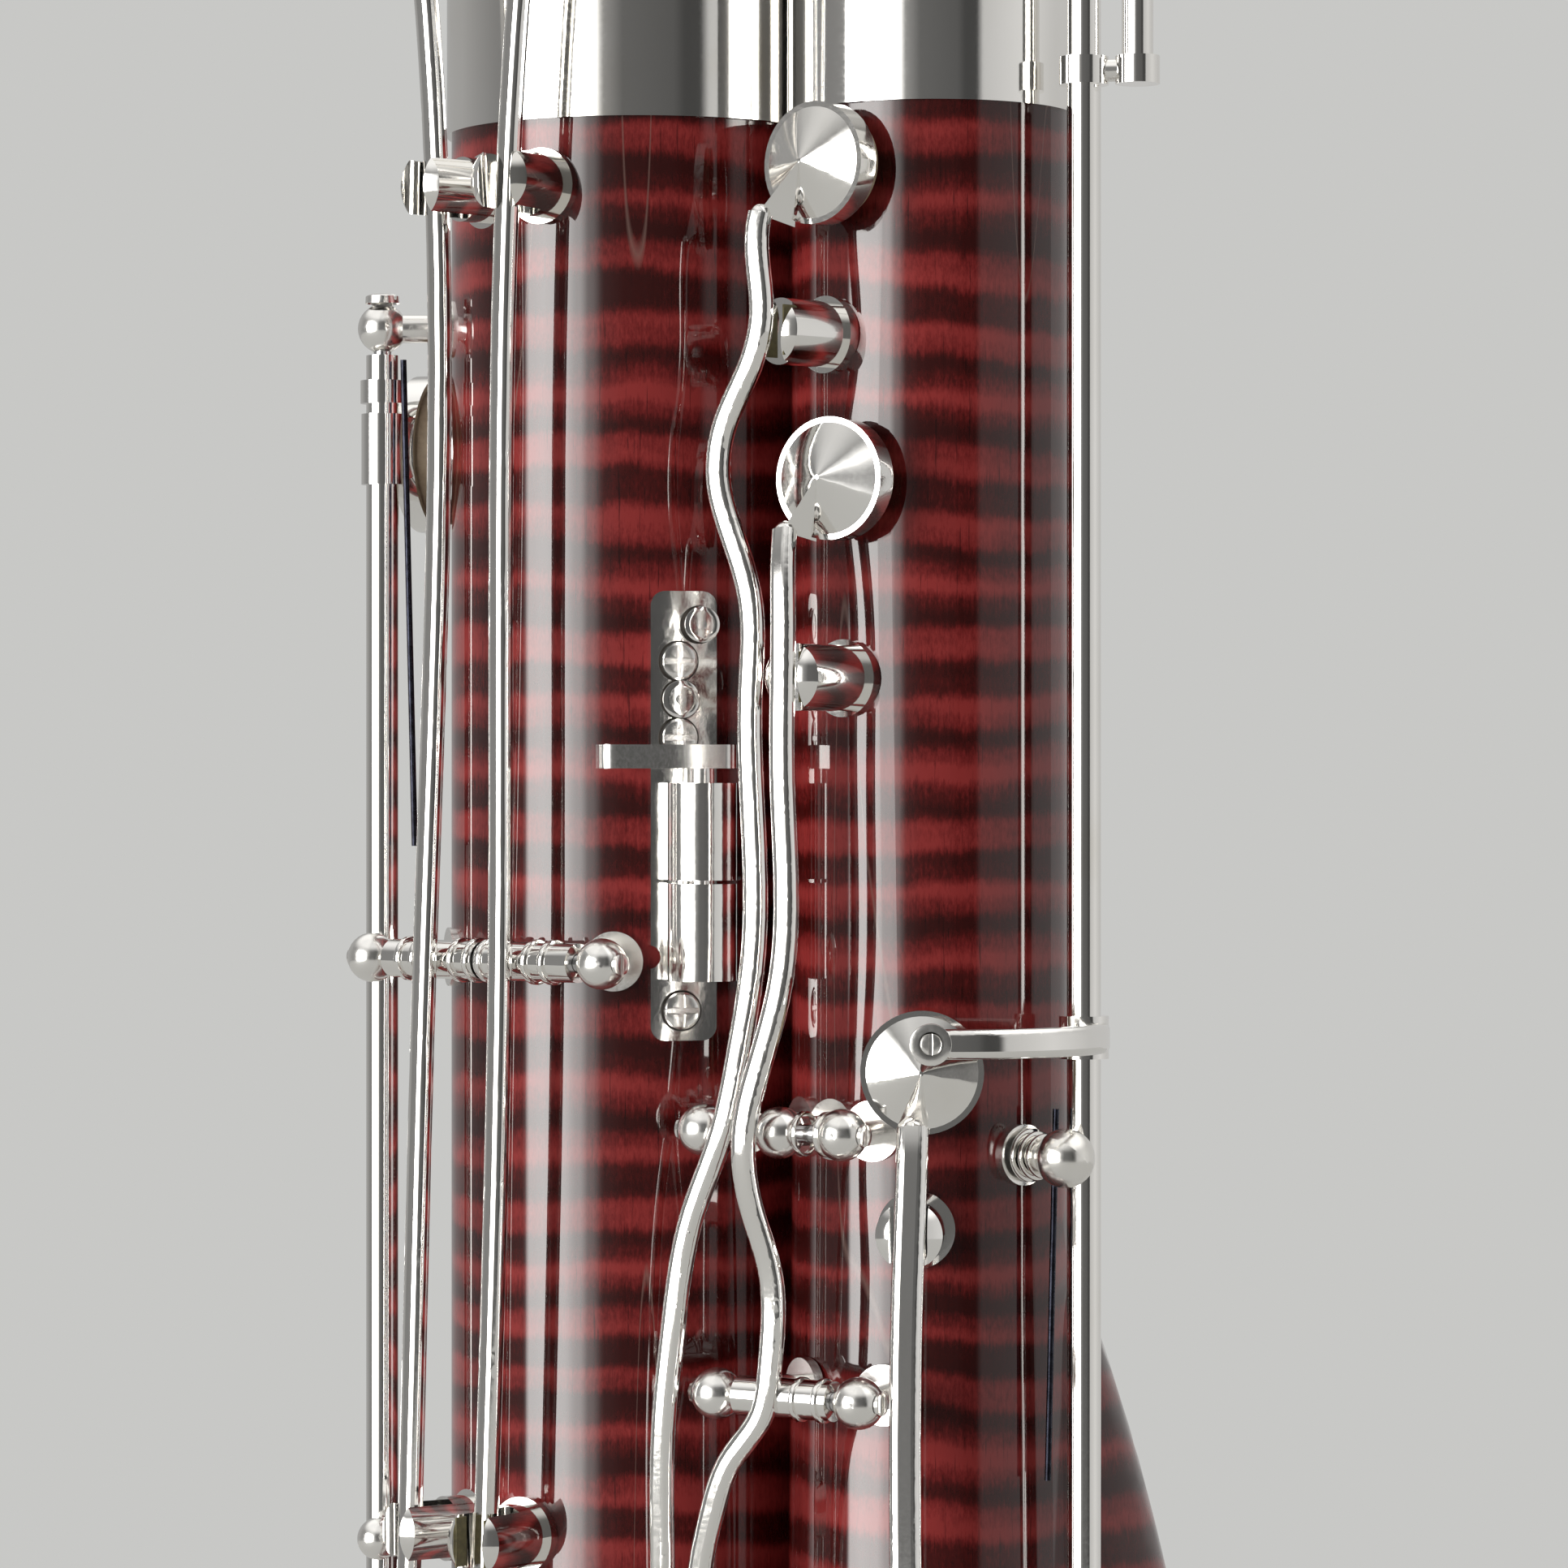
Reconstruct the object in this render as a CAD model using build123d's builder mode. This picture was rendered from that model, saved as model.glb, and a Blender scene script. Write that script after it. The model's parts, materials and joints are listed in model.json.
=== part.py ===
"""Heckel-system bassoon, assembled, in millimetres.

Z runs up the instrument from the boot cap. The player's thumb side faces -Y and the finger-hole side +Y.
The wing joint stands at +X and the long joint at -X. A place on a joint is given by its angle round the
joint's own axis, counted from -Y towards +X, its distance from that axis and its height.
"""

from build123d import *
import os
from math import copysign, cos, radians, sin, sqrt

os.makedirs("parts", exist_ok=True)

# Driving dimensions: the two columns of wood
SPACING = 38.5
WING_X = SPACING / 2
LONG_X = -SPACING / 2
BOOT_R = 23.5
LONG_R = 21.7
WING_R = 15.3
WING_LOW_R = 16.5

# Heights of the joints
CAP_TOP = 47.0
BOOT_TOP = 440.0
FERRULE_Z = 868.5
WING_TOP = 900.0
LONG_SPLIT = 906.0
LONG_TOP = 1000.0
BELL_TOP = 1340.0
TENON = 36.0

# Metal thicknesses and running fits
BAND = 0.5
STEEL_R = 1.0
BORE_R = 1.06
TUBE_R = 2.15
ROD_R = 1.85
BALL_R = 2.8
BALL_GAP = 0.25
STEM_R = 1.6
FOOT_R = 3.3
FOOT_H = 0.7
SINK = 0.4

# Lever bars
BAR_W = 2.7
BAR_T = 2.2
BAR_LIFT = 3.1
GUIDE_LIFT = 20.0

# Pad cups, counted outwards from the rim of the tone hole
PAD_GAP = 0.3
PAD_T = 3.0
CUP_RIM = 1.8
CUP_FLOOR = 3.35
CUP_TOP = 4.4
CUP_APEX = 6.7
CUP_POINT = 0.25
CUP_WALL = 0.7

# Fork guides
FORK_R = 3.6
FORK_DOME = 1.5
FORK_COLLAR = 0.6
LONG_FORK_FLOOR = 25.5
LONG_FORK_SLOT = 4.1

UPWARD = (Align.CENTER, Align.CENTER, Align.MIN)


def polar(axis_x, angle, radius, z):
    """Point at an angle and a distance from a joint's axis."""
    turn = radians(angle)
    return Vector(axis_x + radius * sin(turn), -radius * cos(turn), z)


def across(axis_x, angle, radius, z, tilt=0.0):
    """Plane of a key whose hinge lies across the joint: X along the hinge, Y up, Z outwards."""
    out = polar(0, angle, cos(radians(tilt)), -sin(radians(tilt)))
    return Plane(origin=polar(axis_x, angle, radius, z), x_dir=polar(0, angle + 90, 1, 0), z_dir=out)


def upright(axis_x, angle, radius, z):
    """Plane of a key whose hinge stands along the joint: X up the hinge, Y round it, Z outwards."""
    return Plane(origin=polar(axis_x, angle, radius, z), x_dir=(0, 0, 1), z_dir=polar(0, angle, 1, 0))


def spot(frame, along, over=0.0, out=0.0):
    """Point given on a key's own plane."""
    return frame.from_local_coords(Vector(along, over, out))


def rod(start, end, radius, mode=Mode.ADD):
    """Round bar between two points, added to the part being built or cut from it."""
    line = Vector(*end) - Vector(*start)
    with Locations(Plane(origin=start, z_dir=line).location):
        Cylinder(radius, line.length, align=UPWARD, mode=mode)


def bore(axis_x, bottom, top, low_r, high_r):
    """Conical bore cut upwards round one axis."""
    with Locations((axis_x, 0, bottom)):
        Cone(low_r, high_r, top - bottom, align=UPWARD, mode=Mode.SUBTRACT)


def socket(axis_x, bottom, top, radius):
    """Straight socket cut upwards round one axis."""
    with Locations((axis_x, 0, bottom)):
        Cylinder(radius, top - bottom, align=UPWARD, mode=Mode.SUBTRACT)


def strip(frame, stops, width=BAR_W, thick=BAR_T):
    """Lever arm with rounded edges, swept through points on a key's own plane without twisting."""
    points = [spot(frame, *stop) for stop in stops]
    raised = [point + frame.z_dir * GUIDE_LIFT for point in points]
    curve = Line if len(points) == 2 else Spline
    with BuildLine(mode=Mode.PRIVATE) as route:
        curve(*points)
    with BuildLine(mode=Mode.PRIVATE) as guide:
        curve(*raised)
    along = route.line % 0
    with BuildSketch(Plane(origin=route.line @ 0, x_dir=along.cross(frame.z_dir), z_dir=along)) as section:
        RectangleRounded(width, thick, min(width, thick) * 0.42)
    sweep(section.sketch, path=route.line, binormal=guide.line.edges()[0])


def touch(frame, along, over, out, width, length, thick=2.0):
    """Finger touch: a flat spatula with rounded ends and a softened upper edge."""
    base = Plane(origin=spot(frame, along, over, out), x_dir=frame.x_dir, z_dir=frame.z_dir)
    with BuildSketch(base) as outline:
        RectangleRounded(width, length, min(width, length) * 0.45)
    extrude(outline.sketch, amount=thick, taper=12)


def hinge_tube(frame, start, end, radius=TUBE_R):
    """Hinge tube of a key, before its bore is cut."""
    rod(spot(frame, start), spot(frame, end), radius)


def hinge_bore(frame, start, end):
    """Running bore through a key's hinge tube for its steel."""
    rod(spot(frame, start - 1.0), spot(frame, end + 1.0), BORE_R, mode=Mode.SUBTRACT)


def seat_plane(frame, along, over, out):
    """Plane of a tone hole's rim, parallel to a key's own plane."""
    return Plane(origin=spot(frame, along, over, out), x_dir=frame.x_dir, z_dir=frame.z_dir)


def cup(seat, radius):
    """Pad cup with a low cone on top and a recess for the pad."""
    with Locations(seat.location):
        with Locations((0, 0, CUP_RIM)):
            Cylinder(radius, CUP_TOP - CUP_RIM, align=UPWARD)
        with Locations((0, 0, CUP_TOP)):
            Cone(radius - 0.6, CUP_POINT, CUP_APEX - CUP_TOP, align=UPWARD)
        with Locations((0, 0, CUP_RIM)):
            Cylinder(radius - CUP_WALL, CUP_FLOOR - CUP_RIM, align=UPWARD, mode=Mode.SUBTRACT)


def pad(seat, radius):
    """Pad that sits in a cup, a little clear of the tone hole's rim when the key is closed."""
    with Locations(seat.location):
        with Locations((0, 0, PAD_GAP)):
            Cylinder(radius - CUP_WALL - 0.2, PAD_T, align=UPWARD)


def ridge(seat, tip, half=1.9):
    """Wedge that joins a lever's nose to the point of its cup: a four-sided solid with one sharp edge on top."""
    nose = seat.to_local_coords(tip)
    side = Vector(-nose.Y, nose.X, 0).normalized() * half
    foot = Vector(nose.X, nose.Y, CUP_TOP - 0.8)
    point = Vector(0, 0, CUP_APEX + 0.1)
    corners = [seat.from_local_coords(place) for place in (point, nose, foot + side, foot - side)]
    faces = []
    for left_out in range(4):
        faces.append(Face(Wire.make_polygon([corners[i] for i in range(4) if i != left_out])))
    add(Solid(Shell(faces)))


def nose(tip, radius=BAR_T / 2):
    """Rounded end of a lever."""
    with Locations(tip):
        Sphere(radius)


def ball_post(foot, centre, ball=BALL_R, foot_r=FOOT_R):
    """Key post turned in one piece: a foot screwed into the wood, a stem and a ball."""
    out = (centre - foot).normalized()
    reach = (centre - foot).length
    neck = reach - sqrt(ball * ball - STEM_R * STEM_R)
    turned = out.cross(Vector(0, 0, 1)) + Vector(0, 0, 1)
    with BuildSketch(Plane(origin=foot, x_dir=turned, z_dir=turned.cross(out))) as section:
        with BuildLine():
            Polyline((0, reach + ball), (0, 0), (foot_r, 0), (foot_r, SINK + FOOT_H),
                     (STEM_R, SINK + FOOT_H), (STEM_R, neck))
            ThreePointArc((STEM_R, neck), (ball, reach), (0, reach + ball))
        make_face()
    revolve(section.sketch, axis=Axis(foot, out))


def radial_foot(axis_x, wood, centre):
    """Foot of a post that stands straight out of a round joint."""
    out = Vector(centre.X - axis_x, centre.Y, 0).normalized()
    return Vector(axis_x, 0, centre.Z) + out * (wood - SINK)


def boot_foot(frame, centre):
    """Foot of a post that stands on the boot's flat face."""
    return Vector(centre.X, copysign(BOOT_R - SINK, frame.z_dir.Y), centre.Z)


def fork_guide(axis_x, wood, angle, z, tip, lever_under, slot=3.4, lean=0.0):
    """Slotted guide with a domed tip that keeps a long lever in line."""
    base = across(axis_x, angle, wood - SINK, z)
    height = tip - wood + SINK
    with BuildSketch(Plane(origin=base.origin, x_dir=base.x_dir, z_dir=-base.y_dir)) as section:
        with BuildLine():
            Polyline((0, height), (0, 0), (FORK_R + FORK_COLLAR, 0), (FORK_R + FORK_COLLAR, SINK + 0.8),
                     (FORK_R, SINK + 0.8), (FORK_R, height - FORK_DOME))
            TangentArc((0, height), (FORK_R, height - FORK_DOME), tangent=(1, 0))
        make_face()
    revolve(section.sketch, axis=Axis(base.origin, base.z_dir))
    depth = tip - lever_under
    turn = radians(lean)
    slot_way = base.x_dir * cos(turn) + base.y_dir * sin(turn)
    with Locations(Plane(origin=polar(axis_x, angle, tip, z), x_dir=slot_way, z_dir=base.z_dir).location):
        Box(slot, 3 * FORK_R, depth, align=(Align.CENTER, Align.CENTER, Align.MAX), mode=Mode.SUBTRACT)


def save(part, name):
    """Label one finished piece and write its STEP file."""
    part.label = name
    export_step(part, f"parts/{name}.step")


# Hinges. Each has a plane, the places of its balls along the hinge, and the wood that it stands on.
LEVER_HINGE = across(LONG_X, -8.7, 25.4, 775.5)
LEVER_BALLS = (-17.8, 17.8)
LOW_B_FLAT_OPEN = 3.5
LOW_B_FLAT_HINGE = across(LONG_X, -27.3, 25.4, 948, LOW_B_FLAT_OPEN)
LOW_B_OPEN = 7.0
LOW_B_HINGE = across(LONG_X, 13.5, 25.4, 925, LOW_B_OPEN)
SMALL_BALLS = (-7.0, 7.0)
LOW_C_OPEN = -6.0
LOW_C_HINGE = across(LONG_X, -32, 27.0, 560, LOW_C_OPEN)
LOW_D_OPEN = -4.5
LOW_D_HINGE = across(LONG_X, 14, 27.0, 560, LOW_D_OPEN)
LOW_E_FLAT_HINGE = upright(LONG_X, -54, 29.5, 700)
LOW_E_FLAT_BALLS = (-140.0, 146.7)
LOW_C_SHARP_HINGE = upright(LONG_X, -112, 29.5, 580)
LOW_C_SHARP_BALLS = (-75.0, 70.0)

FLICK_A_HINGE = across(WING_X, 0, 23.5, 757.7)
FLICK_A_BALLS = (-14.35, -4.55, 3.35)
FLICK_C_HINGE = across(WING_X, 0, 24.0, 729.4)
FLICK_C_BALLS = (-12.25, 5.75)
HIGH_D_HINGE = across(WING_X, 26, 21.9, 692)
C_SHARP_HINGE = across(WING_X, 8, 22.5, 604)
WHISPER_HINGE = upright(WING_X, 86, 20.3, 770)
WHISPER_BALLS = (-172.0, 168.0)

BOOT_LIFT = 28.0
LOW_E_OPEN = -7.0
LOW_E_HINGE = across(LONG_X, 0, BOOT_LIFT, 368, LOW_E_OPEN)
B_FLAT_HINGE = across(12.0, 0, BOOT_LIFT, 372)
F_SHARP_HINGE = across(14.0, 0, BOOT_LIFT, 290)
G_SHARP_HINGE = across(-14.0, 0, BOOT_LIFT, 240)
G_OPEN = -7.0
G_HINGE = across(14.0, 180, BOOT_LIFT, 352, G_OPEN)
LOW_F_OPEN = -6.0
LOW_F_HINGE = across(-12.0, 180, BOOT_LIFT, 200, LOW_F_OPEN)
F_SHARP_PINKY_HINGE = across(14.0, 180, BOOT_LIFT, 232)
G_SHARP_PINKY_HINGE = across(14.0, 180, BOOT_LIFT, 140)

LONG_HINGES = [
    (LEVER_HINGE, LEVER_BALLS),
    (LOW_B_FLAT_HINGE, SMALL_BALLS),
    (LOW_B_HINGE, SMALL_BALLS),
    (LOW_C_HINGE, SMALL_BALLS),
    (LOW_D_HINGE, SMALL_BALLS),
    (LOW_E_FLAT_HINGE, LOW_E_FLAT_BALLS),
    (LOW_C_SHARP_HINGE, LOW_C_SHARP_BALLS),
]
WING_HINGES = [
    (FLICK_A_HINGE, FLICK_A_BALLS),
    (FLICK_C_HINGE, FLICK_C_BALLS),
    (HIGH_D_HINGE, SMALL_BALLS),
    (C_SHARP_HINGE, SMALL_BALLS),
    (WHISPER_HINGE, WHISPER_BALLS),
]
BOOT_HINGES = [
    LOW_E_HINGE, B_FLAT_HINGE, F_SHARP_HINGE, G_SHARP_HINGE,
    G_HINGE, LOW_F_HINGE, F_SHARP_PINKY_HINGE, G_SHARP_PINKY_HINGE,
]

# Seats of the cups: the closed pad's plane is level with the tone hole's rim.
VENT_SEAT = WING_R + 1.3
LONG_SEAT = LONG_R + 1.0
BELL_SEAT = 21.6
BOOT_SEAT = BOOT_R + 1.0
VENT_CUP_R = 6.6

# Tone holes: axis, angle, height, radius, radius of the wood and rim
WING_HOLES = [
    (WING_X, -5.6, 861.6, 1.6, WING_R, VENT_SEAT),
    (WING_X, 0.0, 827.7, 1.6, WING_R, VENT_SEAT),
    (WING_X, 29.0, 764.3, 1.9, WING_R, VENT_SEAT),
    (WING_X, 8.0, 569.0, 3.0, WING_LOW_R, WING_LOW_R + 0.8),
]
LONG_HOLES = [
    (LONG_X, -75.0, 833.0, 5.5, LONG_R, LONG_SEAT),
    (LONG_X, -133.0, 630.0, 5.5, LONG_R, LONG_SEAT),
    (LONG_X, -32.0, 500.0, 8.5, LONG_R, LONG_SEAT),
    (LONG_X, 14.0, 472.0, 7.5, LONG_R, LONG_SEAT),
]
UPPER_HOLES = [(LONG_X, 13.5, 965.0, 8.0, LONG_R, LONG_SEAT)]
BELL_HOLES = [(LONG_X, -27.3, 1065.0, 8.0, 20.6, BELL_SEAT)]
BOOT_HOLES = [
    (LONG_X, 0.0, 330.0, 10.0, BOOT_R, BOOT_SEAT),
    (12.0, 0.0, 402.0, 3.5, BOOT_R, BOOT_SEAT),
    (14.0, 0.0, 260.0, 5.5, BOOT_R, BOOT_SEAT),
    (-14.0, 0.0, 208.0, 5.5, BOOT_R, BOOT_SEAT),
    (14.0, 180.0, 325.0, 5.0, BOOT_R, BOOT_SEAT),
    (-12.0, 180.0, 148.0, 9.0, BOOT_R, BOOT_SEAT),
    (14.0, 180.0, 202.0, 4.5, BOOT_R, BOOT_SEAT),
    (14.0, 180.0, 110.0, 4.5, BOOT_R, BOOT_SEAT),
]
LINER_WALL = 0.9
LINER_DEPTH = 5.0


def drill(holes):
    """Drill tone holes through to the bore, widened at the mouth for their metal liners."""
    for axis_x, angle, z, radius, wood, rim in holes:
        rod(polar(axis_x, angle, 3.0, z), polar(axis_x, angle, wood + 2, z), radius, mode=Mode.SUBTRACT)
        rod(polar(axis_x, angle, wood - LINER_DEPTH, z), polar(axis_x, angle, wood + 2, z),
            radius + LINER_WALL, mode=Mode.SUBTRACT)


# Boot joint: two bores side by side in one block of maple
with BuildPart() as boot_body:
    with BuildSketch(Plane.XY.offset(CAP_TOP)):
        SlotCenterToCenter(SPACING, 2 * BOOT_R)
    extrude(amount=BOOT_TOP - CAP_TOP)
    bore(WING_X, CAP_TOP, BOOT_TOP - TENON, 8.0, 6.2)
    bore(LONG_X, CAP_TOP, BOOT_TOP - TENON, 8.5, 12.0)
    socket(WING_X, BOOT_TOP - TENON, BOOT_TOP, 11.6)
    socket(LONG_X, BOOT_TOP - TENON, BOOT_TOP, 16.2)
    drill(BOOT_HOLES)
    for hole_z in (415, 385):
        rod((WING_X - 4, 0, hole_z - 8), (WING_X - 4, BOOT_R + 2, hole_z), 3.0, mode=Mode.SUBTRACT)
save(boot_body.part, "boot_body")

with BuildPart() as boot_top_band:
    with BuildSketch(Plane.XY.offset(BOOT_TOP - 18)):
        SlotCenterToCenter(SPACING, 2 * (BOOT_R + BAND))
        SlotCenterToCenter(SPACING, 2 * BOOT_R, mode=Mode.SUBTRACT)
    extrude(amount=18)
save(boot_top_band.part, "boot_top_band")

with BuildPart() as u_bend_gasket:
    with BuildSketch(Plane.XY.offset(CAP_TOP - 1.5)):
        SlotCenterToCenter(SPACING, 2 * (BOOT_R - 1.6))
        with Locations((WING_X, 0), (LONG_X, 0)):
            Circle(9.0, mode=Mode.SUBTRACT)
    extrude(amount=1.5)
save(u_bend_gasket.part, "u_bend_gasket")

U_BEND_Z = CAP_TOP - 2.5
with BuildPart() as u_bend:
    with BuildSketch(Plane.XY.offset(CAP_TOP - 3.5)):
        SlotCenterToCenter(SPACING, 2 * (BOOT_R - 1.6))
    extrude(amount=2.0)
    with BuildSketch(Plane.XY.offset(U_BEND_Z)):
        with Locations((WING_X, 0)):
            Circle(9.3)
    revolve(axis=Axis((0, 0, U_BEND_Z), (0, 1, 0)), revolution_arc=180)
    with BuildSketch(Plane.XY.offset(U_BEND_Z)):
        with Locations((WING_X, 0)):
            Circle(8.3)
    revolve(axis=Axis((0, 0, U_BEND_Z), (0, 1, 0)), revolution_arc=180, mode=Mode.SUBTRACT)
    with Locations((WING_X, 0, U_BEND_Z), (LONG_X, 0, U_BEND_Z)):
        Cylinder(8.3, 3, align=UPWARD, mode=Mode.SUBTRACT)
save(u_bend.part, "u_bend")

with BuildPart() as boot_cap:
    with BuildSketch():
        SlotCenterToCenter(SPACING, 2 * (BOOT_R + BAND))
    extrude(amount=CAP_TOP + 3)
    with BuildSketch(Plane.XY.offset(2)):
        SlotCenterToCenter(SPACING, 2 * (BOOT_R - 1.4))
    extrude(amount=CAP_TOP - 2, mode=Mode.SUBTRACT)
    with BuildSketch(Plane.XY.offset(CAP_TOP)):
        SlotCenterToCenter(SPACING, 2 * BOOT_R)
    extrude(amount=4, mode=Mode.SUBTRACT)
    chamfer(boot_cap.faces().sort_by(Axis.Z)[0].edges(), 1.2)
save(boot_cap.part, "boot_cap")

with BuildPart() as strap_eye:
    with Locations((0, -(BOOT_R + BAND + 0.6), BOOT_TOP - 9)):
        Box(9, 1.2, 14)
    with Locations(Plane(origin=(0, -(BOOT_R + 6.6), BOOT_TOP - 9), z_dir=(1, 0, 0)).location):
        Cylinder(5.6, 2.6)
        Cylinder(3.1, 2.6, mode=Mode.SUBTRACT)
save(strap_eye.part, "strap_eye")

# Wing joint, with the thick flange on the finger side that carries the slanting finger holes
EPAULE_ANGLE = 150.0
EPAULE = [(548, 1.0), (572, 13.0), (600, 20.0), (690, 20.0), (722, 12.0), (750, 1.0)]
FINGER_HOLES = [(696, 678), (660, 640), (618, 604)]

with BuildPart() as wing_body:
    with BuildSketch(Plane.XZ):
        with BuildLine():
            Polyline((WING_X, BOOT_TOP - TENON + 1), (WING_X + 10.4, BOOT_TOP - TENON + 1),
                     (WING_X + 10.4, BOOT_TOP), (WING_X + WING_LOW_R, BOOT_TOP),
                     (WING_X + WING_LOW_R, 600), (WING_X + WING_R, 750), (WING_X + WING_R, FERRULE_Z),
                     (WING_X + WING_R - 1, FERRULE_Z), (WING_X + WING_R - 1, WING_TOP - 1.5),
                     (WING_X, WING_TOP - 1.5), (WING_X, BOOT_TOP - TENON + 1))
        make_face()
    revolve(axis=Axis((WING_X, 0, 0), (0, 0, 1)))
    for level, reach in EPAULE:
        with BuildSketch(Plane(origin=polar(WING_X, EPAULE_ANGLE, reach / 2, level),
                               x_dir=polar(0, EPAULE_ANGLE, 1, 0), z_dir=(0, 0, 1))):
            SlotCenterToCenter(reach, 24)
    loft()
    bore(WING_X, BOOT_TOP - TENON, WING_TOP - 28, 6.0, 2.6)
    bore(WING_X, WING_TOP - 28, WING_TOP, 5.0, 5.2)
    for mouth, root in FINGER_HOLES:
        rod(polar(WING_X, EPAULE_ANGLE, 2, root), polar(WING_X, EPAULE_ANGLE, 36, mouth), 2.6,
            mode=Mode.SUBTRACT)
        rod(polar(WING_X, EPAULE_ANGLE, 26, mouth - (mouth - root) * 10 / 34),
            polar(WING_X, EPAULE_ANGLE, 36, mouth), 3.6, mode=Mode.SUBTRACT)
    drill(WING_HOLES)
save(wing_body.part, "wing_body")

with BuildPart() as finger_hole_liners:
    for mouth, root in FINGER_HOLES:
        slope = (mouth - root) / 34
        inner = polar(WING_X, EPAULE_ANGLE, 26, mouth - slope * 10)
        outer = polar(WING_X, EPAULE_ANGLE, 32.6, mouth - slope * 3.4)
        rod(inner, outer, 3.6)
        rod(inner, outer, 2.6, mode=Mode.SUBTRACT)
save(finger_hole_liners.part, "finger_hole_liners")

with BuildPart() as wing_ferrule:
    with BuildSketch(Plane.XZ):
        with BuildLine():
            Polyline((WING_X + WING_R - 1, FERRULE_Z), (WING_X + WING_R + BAND, FERRULE_Z),
                     (WING_X + WING_R + BAND, WING_TOP - 3), (WING_X + WING_R + 0.9, WING_TOP - 2),
                     (WING_X + WING_R + 0.9, WING_TOP), (WING_X + 5.4, WING_TOP),
                     (WING_X + 5.4, WING_TOP - 1.5), (WING_X + WING_R - 1, WING_TOP - 1.5),
                     (WING_X + WING_R - 1, FERRULE_Z))
        make_face()
    revolve(axis=Axis((WING_X, 0, 0), (0, 0, 1)))
save(wing_ferrule.part, "wing_ferrule")

with BuildPart() as wing_tenon_wrap:
    with Locations((WING_X, 0, BOOT_TOP - TENON + 6)):
        Cylinder(11.4, 24, align=UPWARD)
        Cylinder(10.4, 24, align=UPWARD, mode=Mode.SUBTRACT)
save(wing_tenon_wrap.part, "wing_tenon_wrap")

# Long joint in two lengths, joined inside the metal band, then the bell
with BuildPart() as long_joint_body:
    with BuildSketch(Plane.XZ):
        with BuildLine():
            Polyline((LONG_X, BOOT_TOP - TENON + 1), (LONG_X + 15.0, BOOT_TOP - TENON + 1),
                     (LONG_X + 15.0, BOOT_TOP), (LONG_X + LONG_R, BOOT_TOP), (LONG_X + LONG_R, FERRULE_Z),
                     (LONG_X + LONG_R - 1, FERRULE_Z), (LONG_X + LONG_R - 1, LONG_SPLIT - 1.5),
                     (LONG_X, LONG_SPLIT - 1.5), (LONG_X, BOOT_TOP - TENON + 1))
        make_face()
    revolve(axis=Axis((LONG_X, 0, 0), (0, 0, 1)))
    bore(LONG_X, BOOT_TOP - TENON, LONG_SPLIT, 12.0, 15.4)
    socket(LONG_X, LONG_SPLIT - 30, LONG_SPLIT, 18.2)
    drill(LONG_HOLES)
save(long_joint_body.part, "long_joint_body")

with BuildPart() as long_joint_band:
    with BuildSketch(Plane.XZ):
        with BuildLine():
            Polyline((LONG_X + LONG_R - 1, FERRULE_Z), (LONG_X + LONG_R + BAND, FERRULE_Z),
                     (LONG_X + LONG_R + BAND, LONG_SPLIT), (LONG_X + 18.4, LONG_SPLIT),
                     (LONG_X + 18.4, LONG_SPLIT - 1.5), (LONG_X + LONG_R - 1, LONG_SPLIT - 1.5),
                     (LONG_X + LONG_R - 1, FERRULE_Z))
        make_face()
    revolve(axis=Axis((LONG_X, 0, 0), (0, 0, 1)))
save(long_joint_band.part, "long_joint_band")

with BuildPart() as long_joint_upper:
    with Locations((LONG_X, 0, LONG_SPLIT)):
        Cylinder(LONG_R, LONG_TOP - LONG_SPLIT, align=UPWARD)
    with Locations((LONG_X, 0, LONG_SPLIT - 28)):
        Cylinder(18.0, 28, align=UPWARD)
    with Locations((LONG_X, 0, LONG_TOP)):
        Cylinder(18.6, 26, align=UPWARD)
    bore(LONG_X, LONG_SPLIT - 28, LONG_TOP + 26, 15.4, 16.4)
    drill(UPPER_HOLES)
save(long_joint_upper.part, "long_joint_upper")

with BuildPart() as long_tenon_wrap:
    with Locations((LONG_X, 0, BOOT_TOP - TENON + 6)):
        Cylinder(16.0, 24, align=UPWARD)
        Cylinder(15.0, 24, align=UPWARD, mode=Mode.SUBTRACT)
save(long_tenon_wrap.part, "long_tenon_wrap")

BELL_FERRULE = 20.0
with BuildPart() as bell_body:
    with BuildSketch(Plane.XZ):
        with BuildLine():
            Line((LONG_X + 19.0, LONG_TOP + 0.5), (LONG_X + LONG_R, LONG_TOP + 0.5))
            Line((LONG_X + LONG_R, LONG_TOP + 0.5), (LONG_X + LONG_R, LONG_TOP + BELL_FERRULE))
            Spline((LONG_X + LONG_R, LONG_TOP + BELL_FERRULE), (LONG_X + 20.4, 1065), (LONG_X + 19.8, 1130),
                   (LONG_X + 22.0, 1230), (LONG_X + 28.5, BELL_TOP - 18))
            Line((LONG_X + 28.5, BELL_TOP - 18), (LONG_X + 22.0, BELL_TOP - 18))
            Spline((LONG_X + 22.0, BELL_TOP - 18), (LONG_X + 17.6, 1230), (LONG_X + 16.6, LONG_TOP + 27))
            Line((LONG_X + 16.6, LONG_TOP + 27), (LONG_X + 19.0, LONG_TOP + 27))
            Line((LONG_X + 19.0, LONG_TOP + 27), (LONG_X + 19.0, LONG_TOP + 0.5))
        make_face()
    revolve(axis=Axis((LONG_X, 0, 0), (0, 0, 1)))
    for axis_x, angle, z, radius, wood, rim in BELL_HOLES:
        rod(polar(axis_x, angle, 10, z), polar(axis_x, angle, wood + 3, z), radius, mode=Mode.SUBTRACT)
        rod(polar(axis_x, angle, wood - 2.5, z), polar(axis_x, angle, wood + 3, z),
            radius + LINER_WALL, mode=Mode.SUBTRACT)
save(bell_body.part, "bell_body")

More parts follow.
